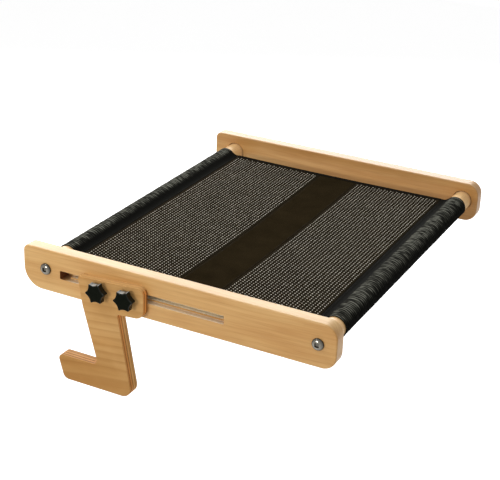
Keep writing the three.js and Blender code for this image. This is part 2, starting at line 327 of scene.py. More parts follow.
        self.choose(Pick.EDGES, at_corner)
        bpy.ops.mesh.bevel(offset=reach, segments=steps, affect="EDGES", clamp_overlap=False)

    def round_rims(
        self, planes: Sequence[float], offset: float, segments: int, inside: Optional[Sequence[float]] = None
    ) -> None:
        """Rounds the sharp edges that lie in upright planes across Y.

        Args:
            planes: The Y of each plane.
            offset: How far the rounding reaches.
            segments: How many steps it has.
            inside: (low x, high x, low z, high z) within which the edges lie, or None for all of them.
        """
        low_x, high_x, low_z, high_z = inside or (-math.inf, math.inf, -math.inf, math.inf)

        def wanted(edge: bmesh.types.BMEdge) -> bool:
            """Says whether an edge turns a corner, lies in a plane and in the window."""
            points = [end.co for end in edge.verts]
            level = any(all(abs(point.y - plane) < SAME_PLACE for point in points) for plane in planes)
            near = all(low_x < point.x < high_x and low_z < point.z < high_z for point in points)
            return edge.calc_face_angle(0.0) >= SHARP_TURN and level and near

        with self.editing():
            if self.choose(Pick.EDGES, wanted):
                bpy.ops.mesh.bevel(offset=offset, segments=segments, affect="EDGES", clamp_overlap=False)

    def face_outwards(self) -> None:
        """Merges doubled corners and turns every face outwards, in edit mode."""
        bpy.ops.mesh.select_all(action="SELECT")
        bpy.ops.mesh.remove_doubles(threshold=WELD)
        bpy.ops.mesh.normals_make_consistent(inside=False)

    def finish_shape(self, low_z: float = -math.inf) -> "Workpiece":
        """Cleans the mesh and marks how far its faces look up, for the painted light that the finishes lay
        on them.

        Args:
            low_z: The height below which no face is marked.

        Returns:
            The piece itself.
        """
        with self.editing():
            self.face_outwards()
        faces = self.made.data.polygons
        values = [max(0.0, face.normal.z) if face.center.z > low_z else 0.0 for face in faces]
        self.made.data.attributes.new("upper", "FLOAT", "FACE").data.foreach_set("value", values)
        return self

    def settle(self) -> None:
        """Puts the object at the origin with its place in its mesh."""
        self.pick()
        bpy.ops.object.transform_apply(location=True, rotation=True, scale=True)

    def modify(self, kind: str, **settings: object) -> None:
        """Adds a modifier and applies it.

        Args:
            kind: The modifier's type.
            settings: Its settings.
        """
        self.pick()
        modifier = self.made.modifiers.new(kind.title(), kind)
        for name, value in settings.items():
            setattr(modifier, name, value)
        bpy.ops.object.modifier_apply(modifier=modifier.name)

    def cut(self, tool: "Workpiece") -> None:
        """Cuts another piece's shape out of this one, and takes that piece away."""
        self.modify("BOOLEAN", operation="DIFFERENCE", solver="MANIFOLD", object=tool.made)
        bpy.data.objects.remove(tool.made)

    def join(self, other: "Workpiece") -> None:
        """Joins another piece's shape to this one, and takes that piece away."""
        self.modify("BOOLEAN", operation="UNION", solver="MANIFOLD", object=other.made)
        bpy.data.objects.remove(other.made)

    def drill(
        self, radius: float, depth: float, start: Sequence[float], towards: float = 1.0, segments: int = 32
    ) -> None:
        """Cuts a round hole along Y, of a radius and depth, from a start on its axis."""
        rings = [(radius, 0.0), (radius, depth)]
        self.cut(Workpiece.turned("drill", rings, start, towards, segments))

    def copied(self, name: str, shift: Sequence[float] = (0, 0, 0), mirror: bool = False) -> "Workpiece":
        """Copies the piece with a mesh of its own.

        Args:
            name: The copy's name.
            shift: How far the copy is moved.
            mirror: Whether it is mirrored to the other end of the dowels.

        Returns:
            The copy.
        """
        twin = self.made.copy()
        twin.data = self.made.data.copy()
        bpy.context.scene.collection.objects.link(twin)
        piece = Workpiece(name, twin)
        twin.location = shift
        twin.scale = (1, -1 if mirror else 1, 1)
        piece.settle()
        if mirror:
            with piece.editing():
                piece.face_outwards()
        return piece

    def copied_to_all(self, kind: str, xs: Span) -> Iterator[Tuple[str, End, Place, "Workpiece"]]:
        """Copies a front fastener made at x = 0 to its four places, and then takes it away.

        Args:
            kind: What the fastener is called.
            xs: Where the fasteners sit along a rail.

        Yields:
            The CAD node's name, the end, the place and the copy.
        """
        for end in End:
            for place, x in zip(Place, xs):
                node = f"{end.value}_{place.value}_{kind}"
                yield node, end, place, self.copied(f"fine_{node}", (x, 0, 0), mirror=end is End.BACK)
        bpy.data.objects.remove(self.made)

    def dressed(
        self,
        finish: bpy.types.Material,
        body: str,
        slot: str,
        nodes: Sequence[str] = (),
        crease: float = 35.0,
    ) -> bpy.types.Object:
        """Shades the piece, gives it its finish and makes it ride on its body.

        Args:
            finish: The piece's material.
            body: The CAD body that it rides on.
            slot: The record's material slot; not used.
            nodes: The CAD nodes that it stands for.
            crease: The angle in degrees above which an edge stays sharp, or 0 for cloth.

        Returns:
            The finished object.
        """
        self.made.data.materials.clear()
        self.made.data.materials.append(finish)
        if crease:
            self.pick()
            bpy.ops.object.shade_smooth_by_angle(angle=math.radians(crease))
            self.modify("WEIGHTED_NORMAL", weight=FACE_WEIGHT, keep_sharp=True)
        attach(self.made, body)
        if nodes:
            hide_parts(*nodes)
        log.info("%s finished, with %d faces", self.made.name, len(self.made.data.polygons))
        return self.made


def strewn(name: str, pattern: Workpiece, places: np.ndarray, turns: np.ndarray) -> Workpiece:
    """Sets copies of one small shape side by side in one mesh, and takes the shape away.

    Args:
        name: The new piece's name.
        pattern: The small shape, modelled about the origin.
        places: The point of each copy.
        turns: A 3 x 3 matrix for each copy, whose rows are where its X, Y and Z sides point.

    Returns:
        The piece that holds all copies.
    """
    base = np.array([point.co for point in pattern.made.data.vertices])
    faces = [list(face.vertices) for face in pattern.made.data.polygons]
    points = (np.einsum("vi,kij->kvj", base, turns) + places[:, None, :]).reshape(-1, 3)
    starts = range(0, len(points), len(base))
    indexed = [[corner + start for corner in face] for start in starts for face in faces]
    mesh = bpy.data.meshes.new(name)
    mesh.from_pydata(points.tolist(), [], indexed)
    made = bpy.data.objects.new(name, mesh)
    bpy.context.scene.collection.objects.link(made)
    bpy.data.objects.remove(pattern.made)
    piece = Workpiece(name, made)
    piece.pick()
    bpy.ops.object.shade_smooth()
    return piece


class Nodes:
    """Adds and links the nodes of one tree."""

    def __init__(self, tree: bpy.types.NodeTree) -> None:
        """Empties the tree."""
        self.tree = tree
        tree.nodes.clear()

    def add(self, kind: str, **settings: object) -> bpy.types.Node:
        """Adds a node.

        Args:
            kind: The node's type.
            settings: Its settings.

        Returns:
            The node.
        """
        node = self.tree.nodes.new(kind)
        for name, value in settings.items():
            setattr(node, name, value)
        return node

    def feed(self, socket: Socket, value: object) -> None:
        """Links an output to a socket, or writes a plain value on it.

        Args:
            socket: The input.
            value: An output socket, a number, a colour or a vector.
        """
        if isinstance(value, Socket):
            self.tree.links.new(value, socket)
        elif socket.type == "RGBA":
            socket.default_value = (*value, 1.0)
        else:
            socket.default_value = value

    def fed(self, kind: str, *values: object, **settings: object) -> bpy.types.Node:
        """Adds a node and feeds its inputs in their order.

        Args:
            kind: The node's type.
            values: What its first inputs get.
            settings: Its settings.

        Returns:
            The node.
        """
        node = self.add(kind, **settings)
        for socket, value in zip(node.inputs, values):
            self.feed(socket, value)
        return node

    def maths(self, operation: str, *values: object) -> Socket:
        """Does one step of arithmetic."""
        return self.fed("ShaderNodeMath", *values, operation=operation).outputs[0]

    def times(self, first: object, *others: object) -> Socket:
        """Multiplies values."""
        for other in others:
            first = self.maths("MULTIPLY", first, other)
        return first

    def plus(self, first: object, second: object) -> Socket:
        """Adds two values."""
        return self.maths("ADD", first, second)

    def minus(self, first: object, second: object) -> Socket:
        """Takes the second value from the first."""
        return self.maths("SUBTRACT", first, second)

    def above(self, first: object, second: object) -> Socket:
        """Gives 1 where the first value is the greater, else 0."""
        return self.maths("GREATER_THAN", first, second)

    def below(self, first: object, second: object) -> Socket:
        """Gives 1 where the first value is the smaller, else 0."""
        return self.maths("LESS_THAN", first, second)

    def highest(self, first: object, *others: object) -> Socket:
        """Gives the highest of some values."""
        for other in others:
            first = self.maths("MAXIMUM", first, other)
        return first


class Recipe(Nodes):
    """Lays out the shader nodes of one material."""

    def __init__(self, name: str) -> None:
        """Starts a material of a name with one Principled shader."""
        self.material = bpy.data.materials.new(name)
        self.material.use_nodes = True
        super().__init__(self.material.node_tree)
        self.shader = self.add("ShaderNodeBsdfPrincipled")
        self.fed("ShaderNodeOutputMaterial", self.shader.outputs["BSDF"])

    def coordinates(self, turn: Sequence[float] = (0, 0, 0), shift: Sequence[float] = (0, 0, 0)) -> Socket:
        """Reads the piece's own coordinates, turned in degrees and shifted.

        Args:
            turn: The turn about each axis in degrees.
            shift: The shift after the turn.

        Returns:
            The vector output.
        """
        mapping = self.fed("ShaderNodeMapping", self.add("ShaderNodeTexCoord").outputs["Object"])
        mapping.inputs["Rotation"].default_value = [math.radians(angle) for angle in turn]
        mapping.inputs["Location"].default_value = shift
        return mapping.outputs["Vector"]

    def split(self, vector: Socket) -> Sequence[Socket]:
        """Splits a vector into its X, Y and Z."""
        return tuple(self.fed("ShaderNodeSeparateXYZ", vector).outputs)

    def mark(self, name: str) -> Socket:
        """Reads an attribute of the mesh."""
        return self.add("ShaderNodeAttribute", attribute_name=name).outputs["Fac"]

    def noise(
        self, vector: Socket, scale: object, detail: float = 3.0, rough: float = 0.5, output: str = "Fac"
    ) -> Socket:
        """Adds a noise texture.

        Args:
            vector: What it reads.
            scale: How fine it is, one number or one for each axis.
            detail: How many finer layers it has.
            rough: How strong they are.
            output: Which output is wanted.

        Returns:
            The output.
        """
        node = self.add("ShaderNodeTexNoise")
        if isinstance(scale, tuple):
            stretched = self.fed("ShaderNodeMapping", vector)
            stretched.inputs["Scale"].default_value = scale
            vector, scale = stretched.outputs["Vector"], 1.0
        for name, value in (("Vector", vector), ("Scale", scale), ("Detail", detail), ("Roughness", rough)):
            self.feed(node.inputs[name], value)
        return node.outputs[output]

    def wave(self, vector: Socket, spacing: float, **settings: object) -> Socket:
        """Adds a wave texture.

        Args:
            vector: What it reads.
            spacing: The distance from crest to crest.
            settings: The texture's settings.

        Returns:
            The wave's height.
        """
        node = self.add("ShaderNodeTexWave", **settings)
        self.feed(node.inputs["Vector"], vector)
        self.feed(node.inputs["Scale"], math.pi / (10 * spacing))
        return node.outputs["Fac"]

    def weave(self, vector: Socket, pitch: float) -> Socket:
        """Crosses the waves of warp and weft, and gives the height of their yarns."""
        warp, weft = (self.wave(vector, pitch, bands_direction=way, wave_profile="SIN") for way in "XY")
        return self.times(warp, weft)

    def ramp(self, value: Socket, stops: Stops, interpolation: str = "LINEAR") -> Socket:
        """Turns a number into a colour by stops.

        Args:
            value: The number.
            stops: (position, colour) in rising order.
            interpolation: How the colour runs between stops.

        Returns:
            The colour output.
        """
        node = self.fed("ShaderNodeValToRGB", value)
        node.color_ramp.interpolation = interpolation
        elements = node.color_ramp.elements
        while len(elements) < len(stops):
            elements.new(1.0)
        for element, (position, colour) in zip(elements, stops):
            element.position = position
            element.color = (*colour, 1.0)
        return node.outputs["Color"]

    def greys(self, value: Socket, *stops: Span) -> Socket:
        """Turns a number into a grey by stops of (position, grey)."""
        return self.ramp(value, [(position, (grey, grey, grey)) for position, grey in stops])

    def climb(self, value: Socket, low: float, high: float) -> Socket:
        """Turns a number into black up to a low one, white from a high one, and greys between."""
        return self.greys(value, (low, 0.0), (high, 1.0))

    def blend(self, share: object, first: object, second: object, mode: str = "MIX") -> Socket:
        """Blends two colours by a share.

        Args:
            share: The share of the second colour.
            first: The first colour.
            second: The second colour.
            mode: How they are blended.

        Returns:
            The colour output.
        """
        node = self.add("ShaderNodeMix", data_type="RGBA", blend_type=mode)
        for index, value in ((0, share), (6, first), (7, second)):
            self.feed(node.inputs[index], value)
        return node.outputs[2]

    def tint(self, first: object, second: object, share: object = 1.0) -> Socket:
        """Multiplies one colour by another, as far as a share says."""
        return self.blend(share, first, second, "MULTIPLY")

    def span(self, value: Socket, low: float, high: float) -> Socket:
        """Runs a number between 0 and 1 over another range."""
        return self.fed("ShaderNodeMapRange", value, 0.0, 1.0, low, high).outputs["Result"]

    def bump(self, height: Socket, distance: float, strength: float) -> None:
        """Raises the surface over what is already raised.

        Args:
            height: How high the surface stands.
            distance: What a height of 1 means in metres.
            strength: How much of it shows.
        """
        node = self.add("ShaderNodeBump")
        for name, value in (("Height", height), ("Distance", distance), ("Strength", strength)):
            self.feed(node.inputs[name], value)
        before = self.shader.inputs["Normal"]
        if before.is_linked:
            self.feed(node.inputs["Normal"], before.links[0].from_socket)
        self.feed(before, node.outputs["Normal"])

    def set(self, **values: object) -> None:
        """Writes or links sockets of the shader, with underscores for the spaces in their names."""
        for name, value in values.items():
            self.feed(self.shader.inputs[name.replace("_", " ")], value)


@dataclass(frozen=True)
class WoodFinish:
    """Lacquered solid wood, its growth rings laid through the whole piece."""

    name: str
    pale: Colour
    ring: Colour
    warm: Colour
    grain: Grain = Grain.ALONG_X
    room_end_shade: Colour = (0.80, 0.68, 0.54)
    ring_spacing: float = 4.2 * MM
    ring_drift: float = 13 * MM
    ring_share: float = 0.3
    band_share: float = 0.42
    streak_share: float = 0.75
    room_end_shading: float = 0.0
    heart: Point = (0.0, 96 * MM, 70 * MM)
    lean: Point = (0.0, 1.2, 0.8)
    roughness: float = 0.36
    relief: float = 0.035 * MM
    entry_shade_strength: float = 0.0
    slot_ys: Span = (255 * MM, 272.6 * MM)
    slot_half_height: float = 6.3 * MM
    slot_floor_drop: float = 5.6 * MM
    slot_margin: float = 1 * MM
    lip_y: float = 264.8 * MM
    painted_entry_shade: Colour = (0.13, 0.028, 0.010)
    painted_channel_light: Colour = (0.98, 0.90, 0.74)
    painted_light: Colour = (1.04, 1.15, 1.36)

    def colour(self, recipe: Recipe, vector: Socket) -> Tuple[Socket, Socket]:
        """Lays out the wood's colour and its height.

        Args:
            recipe: The material.
            vector: Coordinates with the grain along X.

        Returns:
            The colour output and the height output.
        """
        drift = recipe.noise(vector, (3.0, 16.0, 16.0), 2.0, output="Color")
        across = (0.0, self.ring_drift, self.ring_drift)
        push = recipe.fed("ShaderNodeVectorMath", drift, across, vector, operation="MULTIPLY_ADD")
        rings = recipe.wave(
            push.outputs[0], self.ring_spacing, wave_type="RINGS", rings_direction="X", wave_profile="SAW"
        )
        late = recipe.greys(rings, (0.0, 0.0), (0.45, 0.1), (0.88, 1.0), (1.0, 0.0))
        fibres = recipe.noise(vector, (18.0, 700.0, 700.0), 4.0, 0.6)
        patches = recipe.noise(vector, (5.0, 34.0, 34.0), 2.0)
        bands = recipe.noise(vector, (11.0, 150.0, 150.0), 3.0, 0.55)
        base = recipe.blend(recipe.times(recipe.climb(patches, 0.34, 0.66), 0.8), self.pale, self.warm)
        narrow = recipe.times(recipe.climb(bands, 0.42, 0.72), self.band_share)
        banded = recipe.blend(narrow, base, self.ring)
        ringed = recipe.blend(recipe.times(late, self.ring_share), banded, self.ring)
        streaks = recipe.ramp(fibres, [(0.3, (0.86, 0.82, 0.77)), (0.5, WHITE), (0.75, (1.05, 1.05, 1.06))])
        coloured = recipe.tint(ringed, streaks, self.streak_share)
        # Painted shade: the wood darkens and warms towards the room end.
        if self.room_end_shading:
            along = recipe.plus(recipe.times(recipe.split(vector)[0], 1.1), patches)
            towards_room = recipe.ramp(along, [(0.3, WHITE), (0.85, self.room_end_shade)])
            coloured = recipe.tint(coloured, towards_room, self.room_end_shading)
        return coloured, recipe.plus(recipe.times(late, -0.4), fibres)

    def slotted(self, recipe: Recipe, coloured: Socket) -> Socket:
        """Paints shade at the entry of a rail's slot, and paints light on its channel's back wall and floor.

        Args:
            recipe: The material.
            coloured: The rail's colour.

        Returns:
            The colour output.
        """
        low_x, high_x = LAYOUT.slot_xs
        x, y, z = recipe.split(recipe.coordinates())
        out = recipe.maths("ABSOLUTE", y)
        along = recipe.minus(x, low_x)
        off_middle = recipe.maths("ABSOLUTE", recipe.minus(z, LAYOUT.slot_z))
        in_height = recipe.below(off_middle, self.slot_half_height)
        sunk = recipe.times(recipe.above(out, self.slot_ys[0]), recipe.below(out, self.slot_ys[1]))
        inside = recipe.times(in_height, sunk, recipe.above(along, -self.slot_margin))
        from_end = recipe.times(along, 1 / LAYOUT.entry_length)
        near_end = recipe.greys(from_end, (0.0, 1.0), (0.45, 0.8), (1.0, 0.0))
        # Painted shade at the slot's entry, strongest at its window end.
        painted_entry_shade = recipe.blend(recipe.times(near_end, inside, self.entry_shade_strength), coloured, self.painted_entry_shade)
        # Painted light on the channel behind the lip, and half as much on the floor of the mouth.
        past_entry = recipe.climb(recipe.times(from_end, 0.5), 0.35, 0.8)
        before_end = recipe.below(along, high_x - low_x + self.slot_margin)
        behind_lip = recipe.times(inside, recipe.below(out, self.lip_y))
        on_floor = recipe.times(recipe.above(recipe.minus(LAYOUT.slot_z, z), self.slot_floor_drop), inside)
        channel_light_share = recipe.highest(behind_lip, recipe.times(on_floor, 0.55))
        return recipe.blend(recipe.times(past_entry, before_end, channel_light_share), painted_entry_shade, self.painted_channel_light)

    def make(self) -> bpy.types.Material:
        """Makes the material.

        Returns:
            The material.
        """
        recipe = Recipe(self.name)
        turn = tuple(base + lean for base, lean in zip(self.grain.value, self.lean))
        coloured, height = self.colour(recipe, recipe.coordinates(turn, self.heart))
        if self.entry_shade_strength:
            # Painted light: the faces that look up are tinted paler and bluer, as if lit from above.
            upper = recipe.climb(recipe.mark("upper"), 0.5, 0.9)
            coloured = recipe.tint(coloured, recipe.blend(upper, WHITE, self.painted_light))
            coloured = self.slotted(recipe, coloured)
        recipe.set(
            Base_Color=coloured,
            Roughness=recipe.span(height, self.roughness - 0.05, self.roughness + 0.08),
            Specular_IOR_Level=0.26,
            Coat_Weight=0.06,
            Coat_Roughness=0.3,
        )
        recipe.bump(height, self.relief, 0.7)
        return recipe.material


@dataclass(frozen=True)
class PlywoodFinish:
    """Lacquered plywood: a wavy face veneer, and the layers that show on its sawn edges, with painted light
    and shade on them.
    """

    face: WoodFinish
    thickness: float = 18 * MM
    relief: float = 0.04 * MM
    skin_shares: Span = (0.03, 0.985)
    foot_shade: Colour = (0.80, 0.74, 0.64)
    painted_head_top_light: Colour = (0.56, 0.335, 0.135)
    painted_head_shadow: Colour = (0.50, 0.34, 0.20)
    painted_toe_top_shade: Colour = (0.86, 0.85, 0.95)
    painted_side_shade: Colour = (0.92, 0.74, 0.58)
    plies_and_back_shade: Tuple[Tuple[float, Colour], ...] = (
        (0.0, (0.84, 0.49, 0.18)),
        (0.14, (0.42, 0.19, 0.06)),
        (0.21, (0.93, 0.53, 0.19)),
        (0.41, (0.40, 0.18, 0.055)),
        (0.48, (0.91, 0.52, 0.19)),
        (0.70, (0.50, 0.23, 0.07)),
        (0.76, (0.82, 0.46, 0.16)),
        # The last, darkest stop is painted shade along the back of the sawn edges; the others are the plies.
        (0.93, (0.24, 0.12, 0.05)),
    )

    def edges(self, recipe: Recipe, plain: Socket, depth: Socket, z: Socket) -> Socket:
        """Lays out the sawn edges: layers, saw marks, painted light on the head's upper sides, painted shade
        on the toe's upper sides and on the other sides, and a painted shadow at the back of the head's
        sides.

        Args:
            recipe: The material.
            plain: The piece's own coordinates.
            depth: The share of the thickness behind the front face.
            z: The height.

        Returns:
            The colour output.
        """
        wander = recipe.noise(plain, (60.0, 60.0, 60.0), 1.0)
        share = recipe.plus(depth, recipe.times(recipe.minus(wander, 0.5), 0.03))
        plies_and_back_shade = recipe.ramp(share, self.plies_and_back_shade, "CONSTANT")
        saw = recipe.noise(plain, (90.0, 900.0, 90.0), 3.0, 0.6)
        sawn = recipe.ramp(saw, [(0.3, (0.88, 0.86, 0.83)), (0.65, (1.04, 1.04, 1.04))])
        on_head = recipe.above(z, 0.0)
        upper = recipe.climb(recipe.mark("upper"), 0.45, 0.75)
        not_upper = recipe.minus(1.0, upper)
        # Painted light: the head's upper sides are paled.
        painted_light = recipe.blend(recipe.times(upper, on_head, 0.8), plies_and_back_shade, self.painted_head_top_light)
        # Painted shadow at the back of the head's sides, next to the rail.
        behind = recipe.times(recipe.above(share, 0.42), on_head, not_upper)
        # Painted shade on the front part of the sides that don't look up.
        before = recipe.times(recipe.below(share, 0.44), not_upper)
        # Painted shade on the toe's upper sides.
        toe_top = recipe.times(upper, recipe.minus(1.0, on_head))
        side_shaded = recipe.blend(before, recipe.blend(toe_top, WHITE, self.painted_toe_top_shade), self.painted_side_shade)
        return recipe.tint(painted_light, recipe.tint(recipe.blend(behind, side_shaded, self.painted_head_shadow), sawn))

    def make(self) -> bpy.types.Material:
        """Makes the material.

        Returns:
            The material.
        """
        recipe = Recipe(self.face.name)
        coloured, height = self.face.colour(recipe, recipe.coordinates(self.face.lean, self.face.heart))
        plain = recipe.coordinates()
        _, y, z = recipe.split(plain)
        from_front = recipe.minus(-LAYOUT.bracket_y, recipe.maths("ABSOLUTE", y))
        depth = recipe.times(from_front, 1 / self.thickness)
        # Painted shade: the plate darkens towards its foot, in blotches.
        blotches = recipe.noise(plain, (22.0, 22.0, 22.0), 2.0)
        drop = recipe.plus(recipe.times(z, -5.0), blotches)
        footed = recipe.ramp(drop, [(0.45, WHITE), (1.0, self.foot_shade)])
        front_skin, back_skin = self.skin_shares
        cut = recipe.times(recipe.above(depth, front_skin), recipe.below(depth, back_skin))
        skin = recipe.blend(cut, coloured, self.edges(recipe, plain, depth, z))
        recipe.set(
            Base_Color=recipe.tint(skin, footed),
            Roughness=recipe.span(height, self.face.roughness - 0.05, self.face.roughness + 0.08),
            Specular_IOR_Level=0.06,
        )
        recipe.bump(height, self.relief, 0.7)
        return recipe.material


@dataclass(frozen=True)
class MetalFinish:
    """Plated metal with a faint mottle from its bath and fine marks from turning."""

    name: str
    plate: Colour
    dull: Colour
    roughness: float
    rim: Optional[Colour] = None
    rim_ys: Span = (273.2 * MM, 277.6 * MM)
    relief: float = 0.006 * MM

    def make(self) -> bpy.types.Material:
        """Makes the material, with painted shade darkening a head towards its rim where it has a colour for
        it.

        Returns:
            The material.
        """
        recipe = Recipe(self.name)
        vector = recipe.coordinates()
        mottle = recipe.noise(vector, 420.0, 3.0, 0.6)
        colour = recipe.blend(recipe.times(mottle, 0.8), self.plate, self.dull)
        # Painted shade: a head darkens from its crown towards its rim.
        if self.rim:
            low, high = self.rim_ys
            above = recipe.minus(recipe.maths("ABSOLUTE", recipe.split(vector)[1]), low)
            share = recipe.times(above, 1 / (high - low))
            colour = recipe.tint(colour, recipe.ramp(share, [(0.3, self.rim), (0.85, WHITE)]))
        recipe.set(
            Base_Color=colour,
            Metallic=1.0,
            Roughness=recipe.span(mottle, self.roughness - 0.05, self.roughness + 0.09),
        )
        recipe.bump(recipe.noise(vector, (500.0, 4000.0, 500.0), 2.0), self.relief, 0.5)
        return recipe.material


@dataclass(frozen=True)
class MouldedFinish:
    """Moulded plastic, dull on its front face, glossy on its rim and sides, with a painted glint on its
    upper side.
    """

    name: str
    body: Colour
    bloom: Colour
    roughness: float
    painted_glint: Colour = (0.66, 0.67, 0.64)
    back_y: float = 285 * MM
    front_y: float = 296.25 * MM
    dull_gloss: float = 0.012
    rim_gloss: float = 0.15
    ripple_relief: float = 0.05 * MM
    grit_relief: float = 0.006 * MM

    def make(self) -> bpy.types.Material:
        """Makes the material.

        Returns:
            The material.
        """
        recipe = Recipe(self.name)
        vector = recipe.coordinates()
        ripple = recipe.noise(vector, 160.0, 2.0)
        grit = recipe.noise(vector, 2600.0, 2.0)
        out = recipe.maths("ABSOLUTE", recipe.split(vector)[1])
        front = recipe.above(out, self.front_y)
        # Painted highlight: a pale glint on the faces that look up, strongest towards the front.
        flat = recipe.greys(recipe.mark("upper"), (0.84, 0.0), (0.95, 0.3), (0.995, 0.85))
        forward = recipe.times(recipe.minus(out, self.back_y), 1 / (self.front_y - self.back_y))
        glint_share = recipe.times(flat, recipe.greys(forward, (0.0, 0.15), (0.9, 1.0)))
        recipe.set(
            Base_Color=recipe.blend(glint_share, recipe.blend(ripple, self.body, self.bloom), self.painted_glint),
            Roughness=recipe.span(grit, self.roughness - 0.04, self.roughness + 0.07),
            Specular_IOR_Level=recipe.span(front, self.rim_gloss, self.dull_gloss),
        )
        recipe.bump(ripple, self.ripple_relief, 0.4)
        recipe.bump(grit, self.grit_relief, 0.5)
        return recipe.material


@dataclass(frozen=True)
class WovenFinish:
    """Woven cloth whose yarns cross at a fine pitch."""

    name: str
    yarn: Colour
    gap: Colour
    pitch: float
    turn: float = 0.0
    relief: float = 0.16 * MM

    def make(self) -> bpy.types.Material:
        """Makes the material.

        Returns:
            The material.
        """
        recipe = Recipe(self.name)
        vector = recipe.coordinates((0, 0, self.turn))
        crossing = recipe.weave(vector, self.pitch)
        fluff = recipe.noise(vector, 1500.0, 3.0, 0.7)
        wear = recipe.noise(vector, 28.0, 3.0, 0.6)
        recipe.set(
            Base_Color=recipe.tint(
                recipe.blend(crossing, self.gap, self.yarn), recipe.greys(wear, (0.3, 0.8), (0.7, 1.15))
            ),
            Roughness=recipe.span(fluff, 0.75, 0.95),
            Specular_IOR_Level=0.0,
        )
        recipe.bump(recipe.plus(crossing, recipe.times(fluff, 0.5)), self.relief, 0.8)
        return recipe.material


@dataclass(frozen=True)
class GatheredFinish:
    """Gathered cloth, with painted highlights on the crests of its ribs and painted shade between them."""

    name: str
    crest: Colour
    slope: Colour
    valley: Colour
    pitch: float
    relief: float = 0.14 * MM

    def make(self) -> bpy.types.Material:
        """Makes the material.

        Returns:
            The material.
        """
        recipe = Recipe(self.name)
        vector = recipe.coordinates()
        crossing = recipe.weave(vector, self.pitch)
        fluff = recipe.noise(vector, 900.0, 3.0, 0.7)
        # Painted light and shade: the marked rise runs from a black valley to a pale crest.
        broken = recipe.plus(recipe.mark("rise"), recipe.times(recipe.minus(fluff, 0.5), 0.5))
        tone = recipe.ramp(broken, [(0.2, self.valley), (0.52, self.slope), (0.85, self.crest)])
        recipe.set(
            Base_Color=recipe.tint(tone, recipe.greys(crossing, (0.0, 0.7), (0.7, 1.1))),
            Roughness=recipe.span(fluff, 0.85, 1.0),
            Specular_IOR_Level=0.03,
        )
        recipe.bump(recipe.plus(crossing, fluff), self.relief, 0.8)
        return recipe.material


@dataclass(frozen=True)
class YarnFinish:
    """Twisted yarn, such as the floats of the mesh or the thread of a seam."""

    name: str
    light: Colour
    dark: Colour
    ply_pitch: float
    twist: float = 32.0
    specular: float = 0.12
    sheen: float = 0.05
    relief: float = 0.05 * MM

    def make(self) -> bpy.types.Material:
        """Makes the material.

        Returns:
            The material.
        """
        recipe = Recipe(self.name)
        twisted = recipe.coordinates((0, 0, self.twist))
        strands = recipe.wave(twisted, self.ply_pitch, bands_direction="X", wave_profile="SIN")
        tone = recipe.noise(recipe.coordinates(), 190.0, 2.0)
        spread = recipe.ramp(tone, [(0.35, self.dark), (0.6, self.light)])
        recipe.set(
            Base_Color=recipe.tint(spread, recipe.greys(strands, (0.0, 0.8), (0.6, 1.0))),
            Roughness=recipe.span(strands, 0.52, 0.68),
            Specular_IOR_Level=self.specular,
            Sheen_Weight=self.sheen,
        )
        recipe.bump(strands, self.relief, 0.7)
        return recipe.material


